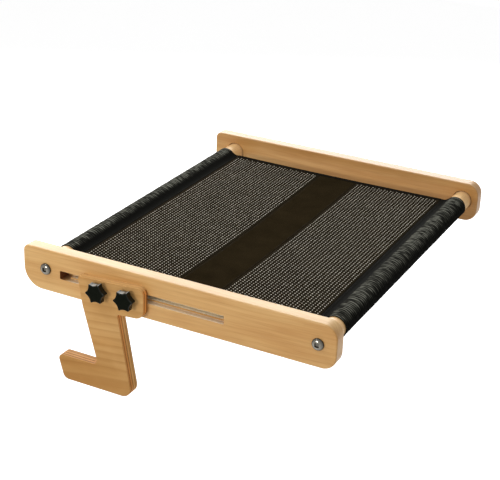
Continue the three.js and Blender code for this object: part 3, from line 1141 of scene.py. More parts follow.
class Finishes:
    """Every material of the perch, each made once."""

    def __init__(self) -> None:
        """Makes the materials."""
        self.rail = WoodFinish(
            "lacquered_rail_wood",
            pale=(0.72, 0.45, 0.18),
            ring=(0.535, 0.275, 0.08),
            warm=(0.63, 0.36, 0.125),
            room_end_shading=0.8,
            entry_shade_strength=0.85,
        ).make()
        # Painted shade: the back rail's wood is a darker copy of the front rail's.
        self.back_rail = WoodFinish(
            "painted_shade_back_rail_wood",
            pale=(0.60, 0.365, 0.145),
            ring=(0.45, 0.225, 0.065),
            warm=(0.53, 0.295, 0.10),
            room_end_shading=0.8,
            entry_shade_strength=0.85,
            heart=(0.3, 90 * MM, 64 * MM),
        ).make()
        self.dowel = WoodFinish(
            "pale_dowel_wood",
            pale=(0.86, 0.58, 0.29),
            ring=(0.72, 0.43, 0.17),
            warm=(0.80, 0.50, 0.22),
            grain=Grain.ALONG_Y,
            ring_spacing=3.2 * MM,
            heart=(0.0, 40 * MM, 60 * MM),
        ).make()
        veneer = WoodFinish(
            "lacquered_plywood",
            pale=(0.64, 0.38, 0.15),
            ring=(0.42, 0.195, 0.055),
            warm=(0.54, 0.28, 0.087),
            ring_spacing=11 * MM,
            ring_share=0.42,
            band_share=0.24,
            streak_share=0.3,
            roughness=0.55,
            heart=(0.0, 262 * MM, 95 * MM),
            lean=(0.0, 5.0, 2.0),
        )
        self.plywood = PlywoodFinish(veneer).make()
        self.steel = MetalFinish(
            "zinc_plated_steel", (0.30, 0.275, 0.235), (0.15, 0.135, 0.115), 0.2
        ).make()
        self.bolt = MetalFinish(
            "rim_shaded_bolt_steel", (0.27, 0.25, 0.21), (0.12, 0.108, 0.09), 0.16, rim=(0.16, 0.16, 0.16)
        ).make()
        self.brass = MetalFinish("yellow_brass", (0.72, 0.52, 0.25), (0.52, 0.36, 0.16), 0.32).make()
        self.knob = MouldedFinish(
            "black_moulded_plastic", (0.004, 0.005, 0.003), (0.007, 0.008, 0.005), 0.22
        ).make()
        self.sleeve = GatheredFinish(
            "ribbed_sleeve_cloth",
            crest=(0.19, 0.19, 0.158),
            slope=(0.034, 0.034, 0.027),
            valley=(0.004, 0.004, 0.003),
            pitch=1.1 * MM,
        ).make()
        self.mesh = WovenFinish(
            "dark_mesh_cloth", (0.046, 0.036, 0.022), (0.010, 0.008, 0.005), 2.6 * MM, turn=45
        ).make()
        self.band = WovenFinish(
            "plain_band_cloth", (0.038, 0.0275, 0.0133), (0.0137, 0.0095, 0.0044), 0.9 * MM
        ).make()
        self.binding = WovenFinish(
            "dark_binding_tape", (0.026, 0.023, 0.018), (0.008, 0.007, 0.005), 0.8 * MM, turn=45
        ).make()
        self.float = YarnFinish("beige_float_yarn", (0.74, 0.69, 0.58), (0.50, 0.46, 0.38), 0.5 * MM).make()
        self.thread = YarnFinish(
            "black_seam_thread",
            light=(0.022, 0.018, 0.012),
            dark=(0.010, 0.008, 0.006),
            ply_pitch=0.3 * MM,
            specular=0.01,
            sheen=0.0,
        ).make()


def rectangle(xs: Span, zs: Span, radii: Sequence[float]) -> List[Corner]:
    """Gives the corners of a board's outline from its low window corner on, with the radius of each."""
    places = ((xs[0], zs[0]), (xs[1], zs[0]), (xs[1], zs[1]), (xs[0], zs[1]))
    return [(x, z, radius) for (x, z), radius in zip(places, radii)]


@dataclass
class RailPair:
    """The two rails: boards with rounded ends, a stepped slot, dowel sockets and bolt holes."""

    half_length: float = 227 * MM
    height: float = 60 * MM
    inner_y: float = -253 * MM
    window_top_radius: float = 9 * MM
    window_bottom_radius: float = 28 * MM
    room_radius: float = 19 * MM
    edge_round: float = 2 * MM
    wide_height: float = 12 * MM
    wide_corner: float = 1.5 * MM
    wide_depth: float = 8 * MM
    lip_depth: float = 4 * MM
    lip_inset: float = 4 * MM
    lip_gap: float = 6.6 * MM
    channel_depth: float = 5 * MM
    mouth_round: float = 0.5 * MM
    mouth_margin: float = 1 * MM
    socket_radius: float = 15 * MM
    socket_depth: float = 8 * MM
    bolt_hole_radius: float = 4.3 * MM
    bolt_hole_depth: float = 24 * MM
    layer_overlap: float = 2 * MM
    socket_segments: int = 64

    def cut_slot(self, rail: Workpiece) -> None:
        """Cuts the slot's wide mouth, the entry at its window end, the channel behind, and the lip's gap.

        Args:
            rail: The front rail.
        """
        low_x, high_x = LAYOUT.slot_xs
        lip_back = self.wide_depth + self.lip_depth
        channel_back = lip_back + self.channel_depth
        before_lip = self.wide_depth - self.layer_overlap
        lip_xs = (low_x + self.lip_inset, high_x - self.lip_inset)
        wide = (self.wide_height, self.wide_corner)
        narrow = (self.lip_gap, self.lip_gap / 2)
        layers = (
            ((low_x, high_x), wide, -LAYOUT.overrun, self.wide_depth),
            ((low_x, low_x + LAYOUT.entry_length), wide, before_lip, channel_back),
            ((low_x, high_x), wide, lip_back, channel_back),
            (lip_xs, narrow, before_lip, lip_back + self.layer_overlap),
        )
        for xs, (height, radius), start, end in layers:
            zs = (LAYOUT.slot_z - height / 2, LAYOUT.slot_z + height / 2)
            corners = rectangle(xs, zs, [radius] * 4)
            rail.cut(Workpiece.board("slot_cutter", corners, LAYOUT.rail_y + start, LAYOUT.rail_y + end))

    def round_mouth(self, rail: Workpiece, plane: float, xs: Span, z: float, half_height: float) -> None:
        """Rounds the mouth of one opening.

        Args:
            rail: The front rail.
            plane: The Y of the face that it opens in.
            xs: Where it starts and ends along the rail.
            z: The height of its middle.
            half_height: Half its height.
        """
        margin, reach = self.mouth_margin, half_height + self.mouth_margin
        window = (xs[0] - margin, xs[1] + margin, z - reach, z + reach)
        rail.round_rims([plane], self.mouth_round, 2, window)

    def build(self) -> Workpiece:
        """Models the front rail.

        Returns:
            The rail.
        """
        outer_y, z = LAYOUT.rail_y, LAYOUT.dowel_z
        radii = (self.window_bottom_radius, self.room_radius, self.room_radius, self.window_top_radius)
        corners = rectangle((-self.half_length, self.half_length), (0.0, self.height), radii)
        rail = Workpiece.board("fine_front_rail", corners, outer_y, self.inner_y)
        rail.round_rims([outer_y, self.inner_y], self.edge_round, 4)
        self.cut_slot(rail)
        for x in LAYOUT.dowel_xs:
            floor = (x, self.inner_y - self.socket_depth, z)
            depth = self.socket_depth + LAYOUT.overrun
            rail.drill(self.socket_radius, depth, floor, segments=self.socket_segments)
            rail.drill(self.bolt_hole_radius, self.bolt_hole_depth, (x, outer_y - LAYOUT.overrun, z))
            socket_xs = (x - self.socket_radius, x + self.socket_radius)
            self.round_mouth(rail, self.inner_y, socket_xs, z, self.socket_radius)
        self.round_mouth(rail, outer_y, LAYOUT.slot_xs, LAYOUT.slot_z, self.wide_height / 2)
        return rail.finish_shape()

    def dress(self, finishes: Finishes) -> None:
        """Builds both rails and gives them their wood.

        Args:
            finishes: The materials.
        """
        front = self.build()
        back = front.copied("fine_back_rail", mirror=True)
        front.dressed(finishes.rail, "perch", "pine_rail", ["front_rail"])
        back.dressed(finishes.back_rail, "perch", "pine_rail", ["back_rail"])


@dataclass
class DowelPair:
    """The two dowels that carry the bed, bored at their ends for threaded inserts."""

    half_length: float = 260.8 * MM
    chamfer: float = 1 * MM
    bore_radius: float = 6.3 * MM
    bore_depth: float = 28 * MM

    def dress(self, finishes: Finishes) -> None:
        """Turns both dowels and gives them their wood.

        Args:
            finishes: The materials.
        """
        radius, half, bore = LAYOUT.dowel_radius, self.half_length, self.half_length - self.bore_depth
        outside = [(radius - self.chamfer, half), (radius, half - self.chamfer)]
        end = [(self.bore_radius, bore), (self.bore_radius, half), *outside]
        rings = [(ring, -reach) for ring, reach in end] + end[::-1]
        for place, x in zip(Place, LAYOUT.dowel_xs):
            piece = Workpiece.turned(f"fine_{place.value}_dowel", rings, (x, 0, LAYOUT.dowel_z), 1.0, 72)
            piece.dressed(finishes.dowel, "perch", "dowel_wood", [f"{place.value}_dowel"])


@dataclass(frozen=True)
class Dome:
    """A domed head with a straight rim."""

    radius: float
    rim: float
    height: float
    ease: float = 0.25 * MM
    crown: float = 0.35 * MM
    steps: int = 9

    def rings(self) -> List[Ring]:
        """Gives (radius, reach) of each ring from the underside to the crown."""
        angles = [math.pi / 2 * (1 - step / self.steps) for step in range(self.steps)]
        rise = self.height - self.rim
        curve = [(self.radius * math.sin(angle), self.rim + rise * math.cos(angle)) for angle in angles]
        return [(self.radius - self.ease, 0.0), (self.radius, self.ease), *curve, (self.crown, self.height)]


@dataclass
class BoltSet:
    """The four domed bolts, their heads recessed, that hold the dowels to the rails."""

    underside_y: float = -273.2 * MM
    head: Dome = Dome(8 * MM, 0.8 * MM, 4.4 * MM)
    shank_radius: float = 4 * MM
    shank_length: float = 32 * MM
    tip_chamfer: float = 0.8 * MM
    recess_reach: float = 3.7 * MM
    recess_core_width: float = 1.5 * MM
    recess_depth: float = 2.2 * MM
    recess_taper: float = 0.62
    recess_overrun: float = 2 * MM

    def recess_cutter(self) -> Workpiece:
        """Makes the tapered square tool that cuts the recess, at x = 0, from a core drawn out on four sides.

        Returns:
            The tool.
        """
        half, z = self.recess_core_width / 2, LAYOUT.dowel_z
        crown_y = self.underside_y - self.head.height
        low = (-half, crown_y - self.recess_overrun, z - half)
        high = (half, crown_y + self.recess_depth, z + half)
        tool = Workpiece.block("recess_cutter", low, high)
        with tool.editing():
            for direction in ((1, 0, 0), (-1, 0, 0), (0, 0, 1), (0, 0, -1)):
                way = Vector(direction)
                side = Vector((0, 0, z)) + way * (half - SAME_PLACE)
                tool.choose(Pick.FACES, lambda face: (face.calc_center_median() - side).dot(way) > 0)
                tool.extrude(way * (self.recess_reach - half))
            tool.choose(Pick.CORNERS, lambda point: point.co.y > crown_y)
            taper = (self.recess_taper, 1, self.recess_taper)
            bpy.ops.transform.resize(value=taper, center_override=(0, high[1], z))
            tool.face_outwards()
        return tool

    def dress(self, finishes: Finishes) -> None:
        """Turns the bolts, cuts their recesses and plates them.

        Args:
            finishes: The materials.
        """
        tip = self.shank_length - self.tip_chamfer
        shank = [(self.shank_radius - self.tip_chamfer, -self.shank_length), (self.shank_radius, -tip)]
        rings = [*shank, (self.shank_radius, 0.0), *self.head.rings()]
        first = Workpiece.turned("fine_bolt", rings, (0, self.underside_y, LAYOUT.dowel_z), -1.0, 56)
        first.cut(self.recess_cutter())
        for node, _, _, bolt in first.copied_to_all("bolt", LAYOUT.dowel_xs):
            bolt.dressed(finishes.bolt, "perch", "zinc_steel", [node], crease=28.0)


@dataclass
class BracketPair:
    """The two hook brackets of plywood: a head that laps the rail, a leg, and a toe under the sill."""

    back_y: float = -265.2 * MM
    head_back_y: float = -273.2 * MM
    edge_round: float = 0.8 * MM
    shoulder_gap: float = 0.5 * MM
    stud_hole_radius: float = 3.3 * MM
    stud_hole_depth: float = 16 * MM
    rebate_xs: Span = (-70 * MM, 60 * MM)
    rebate_top: float = 60 * MM
    outline_in_mm: Tuple[Corner, ...] = (
        (-55.5, 40.0, 3.0),
        (-49.0, 0.0, 40.0),
        (-26.0, -83.5, 8.0),
        (-91.0, -83.5, 7.0),
        (-81.0, -119.0, 9.0),
        (26.5, -119.0, 14.0),
        (4.5, 0.0, 2.0),
        (44.0, 3.0, 13.0),
        (44.0, 46.0, 9.0),
    )

    def build(self) -> Workpiece:
        """Models the front bracket's plate.

        Returns:
            The plate.
        """
        middle_x, front_y = LAYOUT.bracket_x, LAYOUT.bracket_y
        corners = [(middle_x + x * MM, z * MM, radius * MM) for x, z, radius in self.outline_in_mm]
        plate = Workpiece.board("fine_front_bracket_plate", corners, front_y, self.back_y)
        plate.round_rims([front_y, self.back_y], self.edge_round, 3)
        low = (middle_x + self.rebate_xs[0], self.head_back_y, -self.shoulder_gap)
        high = (middle_x + self.rebate_xs[1], self.back_y + LAYOUT.overrun, self.rebate_top)
        plate.cut(Workpiece.block("rebate_cutter", low, high))
        for x in LAYOUT.stud_xs:
            start = (x, front_y - LAYOUT.overrun, LAYOUT.slot_z)
            plate.drill(self.stud_hole_radius, self.stud_hole_depth, start)
        return plate.finish_shape()

    def dress(self, finishes: Finishes) -> None:
        """Builds both plates and gives them their plywood.

        Args:
            finishes: The materials.
        """
        front = self.build()
        back = front.copied("fine_back_bracket_plate", mirror=True)
        for end, plate in zip(End, (front, back)):
            body = f"{end.value}_bracket"
            plate.dressed(finishes.plywood, body, "plywood", [f"{body}_plate"])


@dataclass
class ClampSet:
    """The studs, washers and star knobs that clamp the brackets to the rails."""

    stud_head_y: float = -260.8 * MM
    stud_head: Dome = Dome(5.5 * MM, 0.6 * MM, 3.2 * MM)
    stud_radius: float = 3 * MM
    stud_length: float = 31.5 * MM
    stud_tip_chamfer: float = 0.8 * MM
    neck_depth: float = 3.6 * MM
    neck_overlap: float = 0.4 * MM
    neck_round: float = 0.3 * MM
    washer_back_y: float = -283.4 * MM
    washer_thickness: float = 1.2 * MM
    washer_radius: float = 7.5 * MM
    washer_hole_radius: float = 3.3 * MM
    washer_ease: float = 0.2 * MM
    knob_back_y: float = -284.8 * MM
    hub_radius: float = 7.5 * MM
    hub_height: float = 2.5 * MM
    hub_ease: float = 0.4 * MM
    hub_overlap: float = 2 * MM
    star_height: float = 9 * MM
    star_edge_round: float = 1.1 * MM
    tip_radius: float = 15.3 * MM
    tip_round: float = 1.5 * MM
    valley_corner_radius: float = 10.3 * MM
    valley_round: float = 20 * MM
    rest_turn: float = math.radians(7)
    lobes: int = 6
    insert_bore_radius: float = 4.8 * MM
    insert_bore_depth: float = 8.2 * MM
    stud_bore_radius: float = 3.3 * MM
    stud_bore_depth: float = 9 * MM
    glint_above: float = 8.5 * MM

    def build_stud(self) -> Workpiece:
        """Turns one front stud at x = 0 and joins its square neck.

        Returns:
            The stud.
        """
        head = [(radius, -reach) for radius, reach in reversed(self.stud_head.rings())]
        chamfered = self.stud_length - self.stud_tip_chamfer
        shank = [(self.stud_radius, 0.0), (self.stud_radius, chamfered)]
        tip = (self.stud_radius - self.stud_tip_chamfer, self.stud_length)
        centre = (0, self.stud_head_y, LAYOUT.slot_z)
        stud = Workpiece.turned("fine_stud", [*head, *shank, tip], centre, -1.0, 40)
        neck_end_y = self.stud_head_y - self.neck_depth
        low = (-self.stud_radius, neck_end_y, LAYOUT.slot_z - self.stud_radius)
        high = (self.stud_radius, self.stud_head_y + self.neck_overlap, LAYOUT.slot_z + self.stud_radius)
        neck = Workpiece.block("stud_neck", low, high)
        neck.round_rims([neck_end_y], self.neck_round, 2)
        stud.join(neck)
        return stud

    def build_washer(self) -> Workpiece:
        """Turns one front washer at x = 0, its edges eased.

        Returns:
            The washer.
        """
        ease, thick = self.washer_ease, self.washer_thickness
        hole, outer = self.washer_hole_radius, self.washer_radius
        back = [(hole, ease), (hole + ease, 0.0), (outer - ease, 0.0), (outer, ease)]
        front = [(radius, thick - reach) for radius, reach in reversed(back)]
        rings = [*back, *front, back[0]]
        return Workpiece.turned("fine_washer", rings, (0, self.washer_back_y, LAYOUT.slot_z), -1.0, 48)

    def build_knob(self) -> Workpiece:
        """Models one front star knob at x = 0: a star with a hub behind it and a stepped blind bore.

        Returns:
            The knob.
        """
        tip = (self.tip_radius, self.tip_round)
        valley = (self.valley_corner_radius, self.valley_round)
        corners: List[Corner] = []
        for index, (radius, rounding) in enumerate([tip, valley] * self.lobes):
            angle = self.rest_turn + math.pi * index / self.lobes
            corners.append((radius * math.cos(angle), LAYOUT.slot_z + radius * math.sin(angle), rounding))
        star_back = self.knob_back_y - self.hub_height
        star_front = star_back - self.star_height
        knob = Workpiece.board("fine_knob", corners, star_front, star_back)
        knob.round_rims([star_front, star_back], self.star_edge_round, 4)
        hub_end = self.hub_height + self.hub_overlap
        radius = self.hub_radius
        hub = [(radius - self.hub_ease, 0.0), (radius, self.hub_ease), (radius, hub_end)]
        knob.join(Workpiece.turned("knob_hub", hub, (0, self.knob_back_y, LAYOUT.slot_z), -1.0, 40))
        start = (0, self.knob_back_y + LAYOUT.overrun, LAYOUT.slot_z)
        knob.drill(self.insert_bore_radius, self.insert_bore_depth + LAYOUT.overrun, start, -1.0)
        knob.drill(self.stud_bore_radius, self.stud_bore_depth + LAYOUT.overrun, start, -1.0)
        return knob.finish_shape(LAYOUT.slot_z + self.glint_above)

    def dress(self, finishes: Finishes) -> None:
        """Builds the studs, washers and knobs at their places.

        Args:
            finishes: The materials.
        """
        kinds = (
            ("stud", self.build_stud(), finishes.steel, "zinc_steel", "{0}_bracket"),
            ("washer", self.build_washer(), finishes.steel, "zinc_steel", "{0}_{1}_washer_carrier"),
            ("knob", self.build_knob(), finishes.knob, "knob_plastic", "{0}_{1}_knob_body"),
        )
        for kind, first, finish, slot, body in kinds:
            for node, end, place, piece in first.copied_to_all(kind, LAYOUT.stud_xs):
                piece.dressed(finish, body.format(end.value, place.value), slot, [node], crease=32.0)


@dataclass
class ClothBed:
    """The bed: gathered sleeves round the dowels, mesh panels, a band between them and bound edges."""

    half_width: float = 224 * MM
    level: float = 39 * MM
    thickness: float = 0.9 * MM
    sag_depth: float = 5 * MM
    edge_sag_share: float = 0.25
    window_seam_x: float = -168.4 * MM
    room_seam_x: float = 179.9 * MM
    band_low_x: float = -20 * MM
    band_high_x: float = 42 * MM
    seam_gap: float = 0.3 * MM
    pucker_height: float = 0.11 * MM
    pucker_reach: float = 9 * MM
    pucker_lengths: Span = (3.1 * MM, 4.7 * MM)
    cells_along: int = 190
    panel_cells: int = 60
    band_cells: int = 30
    sleeve_clearance: float = 0.25 * MM
    sleeve_thickness: float = 0.6 * MM
    sleeve_steps: int = 72
    sleeve_cells_along: int = 560
    arc_points: int = 220
    easing_passes: int = 3
    hem_width: float = 9.5 * MM
    hem_drop: float = 0.85 * MM
    pinch_width: float = 3.6 * MM
    pinch_drops: Span = (0.45 * MM, 0.95 * MM)
    gather_reach: float = 7 * MM
    rib_pitch: float = 4.2 * MM
    rib_height: float = 0.85 * MM
    rim_lift: float = 0.35 * MM
    rim_reach: float = 1.6 * MM
    painted_light_ramp: Point = (1.5, 0.4, 0.12)
    float_pitches: Span = (4.9 * MM, 5.25 * MM)
    float_width: float = 1.5 * MM
    float_length: float = 2.35 * MM
    float_height: float = 0.4 * MM
    float_sink: float = 0.05 * MM
    float_margins: Span = (3 * MM, 2 * MM)
    float_wobbles: Span = (0.10 * MM, 0.14 * MM)
    float_turn: float = 0.10
    float_size_share: float = 0.07
    float_seed: int = 7
    binding_width: float = 7 * MM
    binding_clearance: float = 0.32 * MM
    binding_thickness: float = 0.5 * MM
    binding_overhang: float = 0.3 * MM
    binding_inset: float = 0.8 * MM
    binding_cells: Cells = (150, 26)
    stitch_pitch: float = 4.2 * MM
    stitch_length: float = 3.1 * MM
    stitch_half_width: float = 0.28 * MM
    stitch_zs: Span = (-0.2 * MM, 0.24 * MM)
    stitch_round: float = 0.14 * MM
    stitch_margins: Span = (4 * MM, 3 * MM)
    hem_stitch_insets: Span = (2.2 * MM, 6.4 * MM)
    hem_stitch_lift: float = 0.02 * MM
    band_stitch_inset: float = 2 * MM
    edge_stitch_inset: float = 1.6 * MM
    edge_stitch_lift: float = 0.56 * MM

    def sag(self, x: np.ndarray, y: np.ndarray) -> np.ndarray:
        """Gives how far the bed hangs below its hems, most in the middle and less at its free edges.

        Args:
            x: The points' X.
            y: Their Y.

        Returns:
            The depth at each.
        """
        across = (x - self.window_seam_x) / (self.room_seam_x - self.window_seam_x)
        along = 1 - (y / self.half_width) ** 2
        span = self.edge_sag_share + (1 - self.edge_sag_share) * along
        return self.sag_depth * 4 * across * (1 - across) * span

    def top(self, x: np.ndarray, y: np.ndarray) -> np.ndarray:
        """Gives the height of the bed's upper side, with the small puckers that its seams pull into it.

        Args:
            x: The points' X.
            y: Their Y.

        Returns:
            The height of each.
        """
        short, long = self.pucker_lengths
        pucker = np.zeros_like(x)
        for seam in (self.window_seam_x, self.band_low_x, self.band_high_x, self.room_seam_x):
            near = np.exp(-np.abs(x - seam) / self.pucker_reach)
            pucker += near * (np.sin(y / short + 40 * seam) + 0.6 * np.sin(y / long + 7.0 + 90 * seam))
        return self.level - self.sag(x, y) + self.pucker_height * pucker

    def panel(self, name: str, low_x: float, high_x: float, across: int) -> Workpiece:
        """Lays one panel of the bed between two seams.

        Args:
            name: The piece's name.
            low_x: The X of its one seam.
            high_x: The X of its other seam.
            across: How many squares its grid has between them.

        Returns:
            The panel.
        """

        def place(u: np.ndarray, v: np.ndarray) -> np.ndarray:
            """Places the panel's middle surface."""
            x, y = low_x + u * (high_x - low_x), (2 * v - 1) * self.half_width
            return np.stack([x, y, self.top(x, y) - self.thickness / 2], axis=1)

        return Workpiece.cloth(name, (across, self.cells_along), place, self.thickness)

    def floats(self, name: str, low_x: float, high_x: float) -> Workpiece:
        """Lays the light yarn floats of the mesh on one panel, on a staggered lattice.

        Args:
            name: The piece's name.
            low_x: The X of the panel's one seam.
            high_x: The X of its other seam.

        Returns:
            The floats.
        """
        deselect_all()
        bpy.ops.mesh.primitive_uv_sphere_add(segments=8, ring_count=6, radius=0.5)
        pattern = Workpiece("float_pattern")
        pattern.made.scale = (self.float_width, self.float_length, 2 * self.float_height)
        pattern.settle()
        with pattern.editing():
            bpy.ops.mesh.select_all(action="SELECT")
            under = (0, 0, -self.float_sink)
            bpy.ops.mesh.bisect(plane_co=under, plane_no=(0, 0, 1), clear_inner=True, use_fill=True)
            pattern.face_outwards()
        pitch_x, pitch_y = self.float_pitches
        margin_x, margin_y = self.float_margins
        columns = int((high_x - low_x - margin_x) / pitch_x)
        first_x = (low_x + high_x - (columns - 1) * pitch_x) / 2
        rows = int((2 * self.half_width - 2 * self.binding_width - margin_y) / pitch_y)
        first_y = -(rows - 1) * pitch_y / 2
        column, row = np.meshgrid(np.arange(columns), np.arange(rows), indexing="ij")
        x = (first_x + column * pitch_x).ravel()
        y = (first_y + (row + 0.5 * (column % 2) - 0.25) * pitch_y).ravel()
        wobble = np.random.default_rng(self.float_seed)
        x = x + wobble.normal(0, self.float_wobbles[0], x.shape)
        y = y + wobble.normal(0, self.float_wobbles[1], y.shape)
        turn = wobble.normal(0, self.float_turn, x.shape)
        size = wobble.normal(1, self.float_size_share, x.shape).clip(0.8, 1.2)
        turns = np.zeros((len(x), 3, 3))
        turns[:, 0, 0], turns[:, 0, 1] = np.cos(turn) * size, np.sin(turn) * size
        turns[:, 1, 0], turns[:, 1, 1] = -np.sin(turn) * size, np.cos(turn) * size
        turns[:, 2, 2] = size
        return strewn(name, pattern, np.stack([x, y, self.top(x, y)], axis=1), turns)

    def sleeve_path(self, dowel_x: float, seam_x: float) -> Tuple[np.ndarray, np.ndarray, np.ndarray]:
        """Gives the line of a sleeve's cloth in its cross-section, from the seam round the dowel and back.

        Args:
            dowel_x: The X of the dowel's axis.
            seam_x: The X of the seam at the bed.

        Returns:
            The points' X and Z, and how free the cloth is to gather at each, from 0 to 1.
        """
        side = math.copysign(1.0, seam_x - dowel_x)
        reach = abs(seam_x - dowel_x)
        half_way = reach - self.hem_width * 0.5
        radius = LAYOUT.dowel_radius + self.sleeve_clearance + self.sleeve_thickness / 2
        rise = self.level - LAYOUT.dowel_z - self.sleeve_thickness / 2
        pinch = Vector((reach - self.hem_width + self.pinch_width, rise - self.pinch_drops[0]))
        angle = math.atan2(pinch.y, pinch.x)
        spread = math.acos(radius / pinch.length)
        arc = np.linspace(angle + spread, 2 * math.pi + angle - spread, self.arc_points)
        high = np.array([(reach, rise), (half_way, rise), (pinch.x, rise)])
        under = rise - self.hem_drop
        low = np.array([(pinch.x, rise - self.pinch_drops[1]), (half_way, under), (reach, under)])
        line = np.concatenate([high, np.stack([radius * np.cos(arc), radius * np.sin(arc)], axis=1), low])
        lengths = np.concatenate([[0], np.cumsum(np.linalg.norm(np.diff(line, axis=0), axis=1))])
        share = np.linspace(0, lengths[-1], self.sleeve_steps + 1)
        x, z = np.interp(share, lengths, line[:, 0]), np.interp(share, lengths, line[:, 1])
        for _ in range(self.easing_passes):
            for run in (x, z):
                run[1:-1] = (run[:-2] + 2 * run[1:-1] + run[2:]) / 4
        from_seam = np.minimum(share, lengths[-1] - share)
        free = np.clip((from_seam - self.hem_width) / self.gather_reach, 0, 1)
        return dowel_x + side * x, LAYOUT.dowel_z + z, free

    def uneven(self, round_share: np.ndarray, along: np.ndarray, cells: Cells, seed: int) -> np.ndarray:
        """Gives a smooth field that wanders between -1 and 1 over shares 0 to 1 in two directions.

        Args:
            round_share: The share of the way round the dowel.
            along: The share of the way along it.
            cells: How many cells the field has in each direction.
            seed: The seed of its random knots.

        Returns:
            The field's values.
        """
        knots = np.random.default_rng(seed).uniform(-1, 1, (cells[0] + 2, cells[1] + 2))
        far, wide = round_share * cells[0], along * cells[1]
        row, column = far.astype(int), wide.astype(int)
        far, wide = far - row, wide - column
        far, wide = far**2 * (3 - 2 * far), wide**2 * (3 - 2 * wide)
        low = knots[row, column] * (1 - wide) + knots[row, column + 1] * wide
        high = knots[row + 1, column] * (1 - wide) + knots[row + 1, column + 1] * wide
        return low * (1 - far) + high * far

    def gathers(self, round_share: np.ndarray, along: np.ndarray) -> np.ndarray:
        """Gives how high the uneven, broken ribs of a gathered sleeve stand.

        Args:
            round_share: The share of the way round the dowel.
            along: The share of the way along it.

        Returns:
            The height at each point, from 0 to 1.
        """
        drift = 3.2 * self.uneven(round_share, along, (6, 20), 3)
        ribs = np.sin(2 * math.pi * along * 2 * self.half_width / self.rib_pitch + drift)
        strength = 0.6 + 0.25 * self.uneven(round_share, along, (12, 110), 5)
        stray = 0.75 * self.uneven(round_share, along, (16, 240), 11)
        return (0.5 + 0.5 * (strength * ribs + stray)).clip(0, 1)

    def sleeve(self, name: str, dowel_x: float, seam_x: float, pale_side: Span) -> Workpiece:
        """Wraps one gathered sleeve round its dowel.

        Args:
            name: The piece's name.
            dowel_x: The X of the dowel's axis.
            seam_x: The X of the seam at the bed.
            pale_side: The X and Z of the side on which the ribs get the most painted light.

        Returns:
            The sleeve.
        """
        line_x, line_z, free = self.sleeve_path(dowel_x, seam_x)
        tangent_x, tangent_z = np.gradient(line_x), np.gradient(line_z)
        size = np.hypot(tangent_x, tangent_z)
        out_x, out_z = -tangent_z / size, tangent_x / size
        from_x, from_z = line_x - dowel_x, line_z - LAYOUT.dowel_z
        if np.sum(out_x * from_x + out_z * from_z) < 0:
            out_x, out_z = -out_x, -out_z
        # Painted light: the ribs are palest on the side that faces the light.
        facing = (pale_side[0] * from_x + pale_side[1] * from_z) / LAYOUT.dowel_radius
        slope, start, least = self.painted_light_ramp
        painted_light = (slope * facing - start).clip(least, 1)

        def step(u: np.ndarray) -> np.ndarray:
            """Gives the step of the path at each share of the way round."""
            return np.rint(u * self.sleeve_steps).astype(int)

        def rise(u: np.ndarray, v: np.ndarray) -> np.ndarray:
            """Gives how high the ribs stand where the cloth is free."""
            return self.gathers(u, v) * free[step(u)]

        def paling(u: np.ndarray, v: np.ndarray) -> np.ndarray:
            """Gives how pale the ribs are: their height times how far they face the light, as painted light.
            """
            return rise(u, v) * painted_light[step(u)]

        def place(u: np.ndarray, v: np.ndarray) -> np.ndarray:
            """Places the sleeve's middle surface, gathered into ribs where it is free."""
            index = step(u)
            y = (2 * v - 1) * self.half_width
            rim = np.exp(-(self.half_width - np.abs(y)) / self.rim_reach) * self.rim_lift * free[index]
            lift = rise(u, v) * self.rib_height + rim
            x, z = line_x[index] + out_x[index] * lift, line_z[index] + out_z[index] * lift
            return np.stack([x, y, z], axis=1)

        cells = (self.sleeve_steps, self.sleeve_cells_along)
        return Workpiece.cloth(name, cells, place, self.sleeve_thickness, paling)

    def binding(self, name: str, side: float) -> Workpiece:
        """Folds a tape round one free edge of the bed.

        Args:
            name: The piece's name.
            side: The sign of Y of that edge.

        Returns:
            The tape.
        """
        half = self.thickness / 2 + self.binding_clearance
        flat = self.binding_width - half

        def place(u: np.ndarray, v: np.ndarray) -> np.ndarray:
            """Places the tape: along its upper side, round the edge, and back below."""
            total = 2 * flat + math.pi * half
            run = v * total
            turn = np.clip((run - flat) / half, 0, math.pi)
            inward = np.where(run < flat, flat - run, np.maximum(run - (total - flat), 0.0))
            length = self.room_seam_x - self.window_seam_x - 2 * self.binding_inset
            x = self.window_seam_x + self.binding_inset + u * length
            y = side * (self.half_width - self.binding_overhang + half * np.sin(turn) - inward)
            middle = self.top(x, np.full_like(x, side * self.half_width)) - self.thickness / 2
            return np.stack([x, y, middle + half * np.cos(turn)], axis=1)

        return Workpiece.cloth(name, self.binding_cells, place, self.binding_thickness)

    def stitch_pattern(self) -> Workpiece:
        """Models one stitch along Y, its ends drawn in and its upper edges rounded.

        Returns:
            The stitch.
        """
        half, (low_z, high_z) = self.stitch_length / 2, self.stitch_zs
        low, high = (-self.stitch_half_width, -half, low_z), (self.stitch_half_width, half, high_z)
        pattern = Workpiece.block("stitch_pattern", low, high)
        with pattern.editing():
            pattern.choose(Pick.FACES, lambda face: abs(face.normal.y) > 0.5)
            bpy.ops.mesh.extrude_region_move()
            bpy.ops.transform.resize(value=(0.5, 1.16, 0.4), center_override=(0, 0, low_z / 2))
            pattern.choose(Pick.EDGES, lambda edge: all(end.co.z > high_z / 2 for end in edge.verts))
            bpy.ops.mesh.bevel(offset=self.stitch_round, segments=2, affect="EDGES")
            pattern.face_outwards()
        return pattern

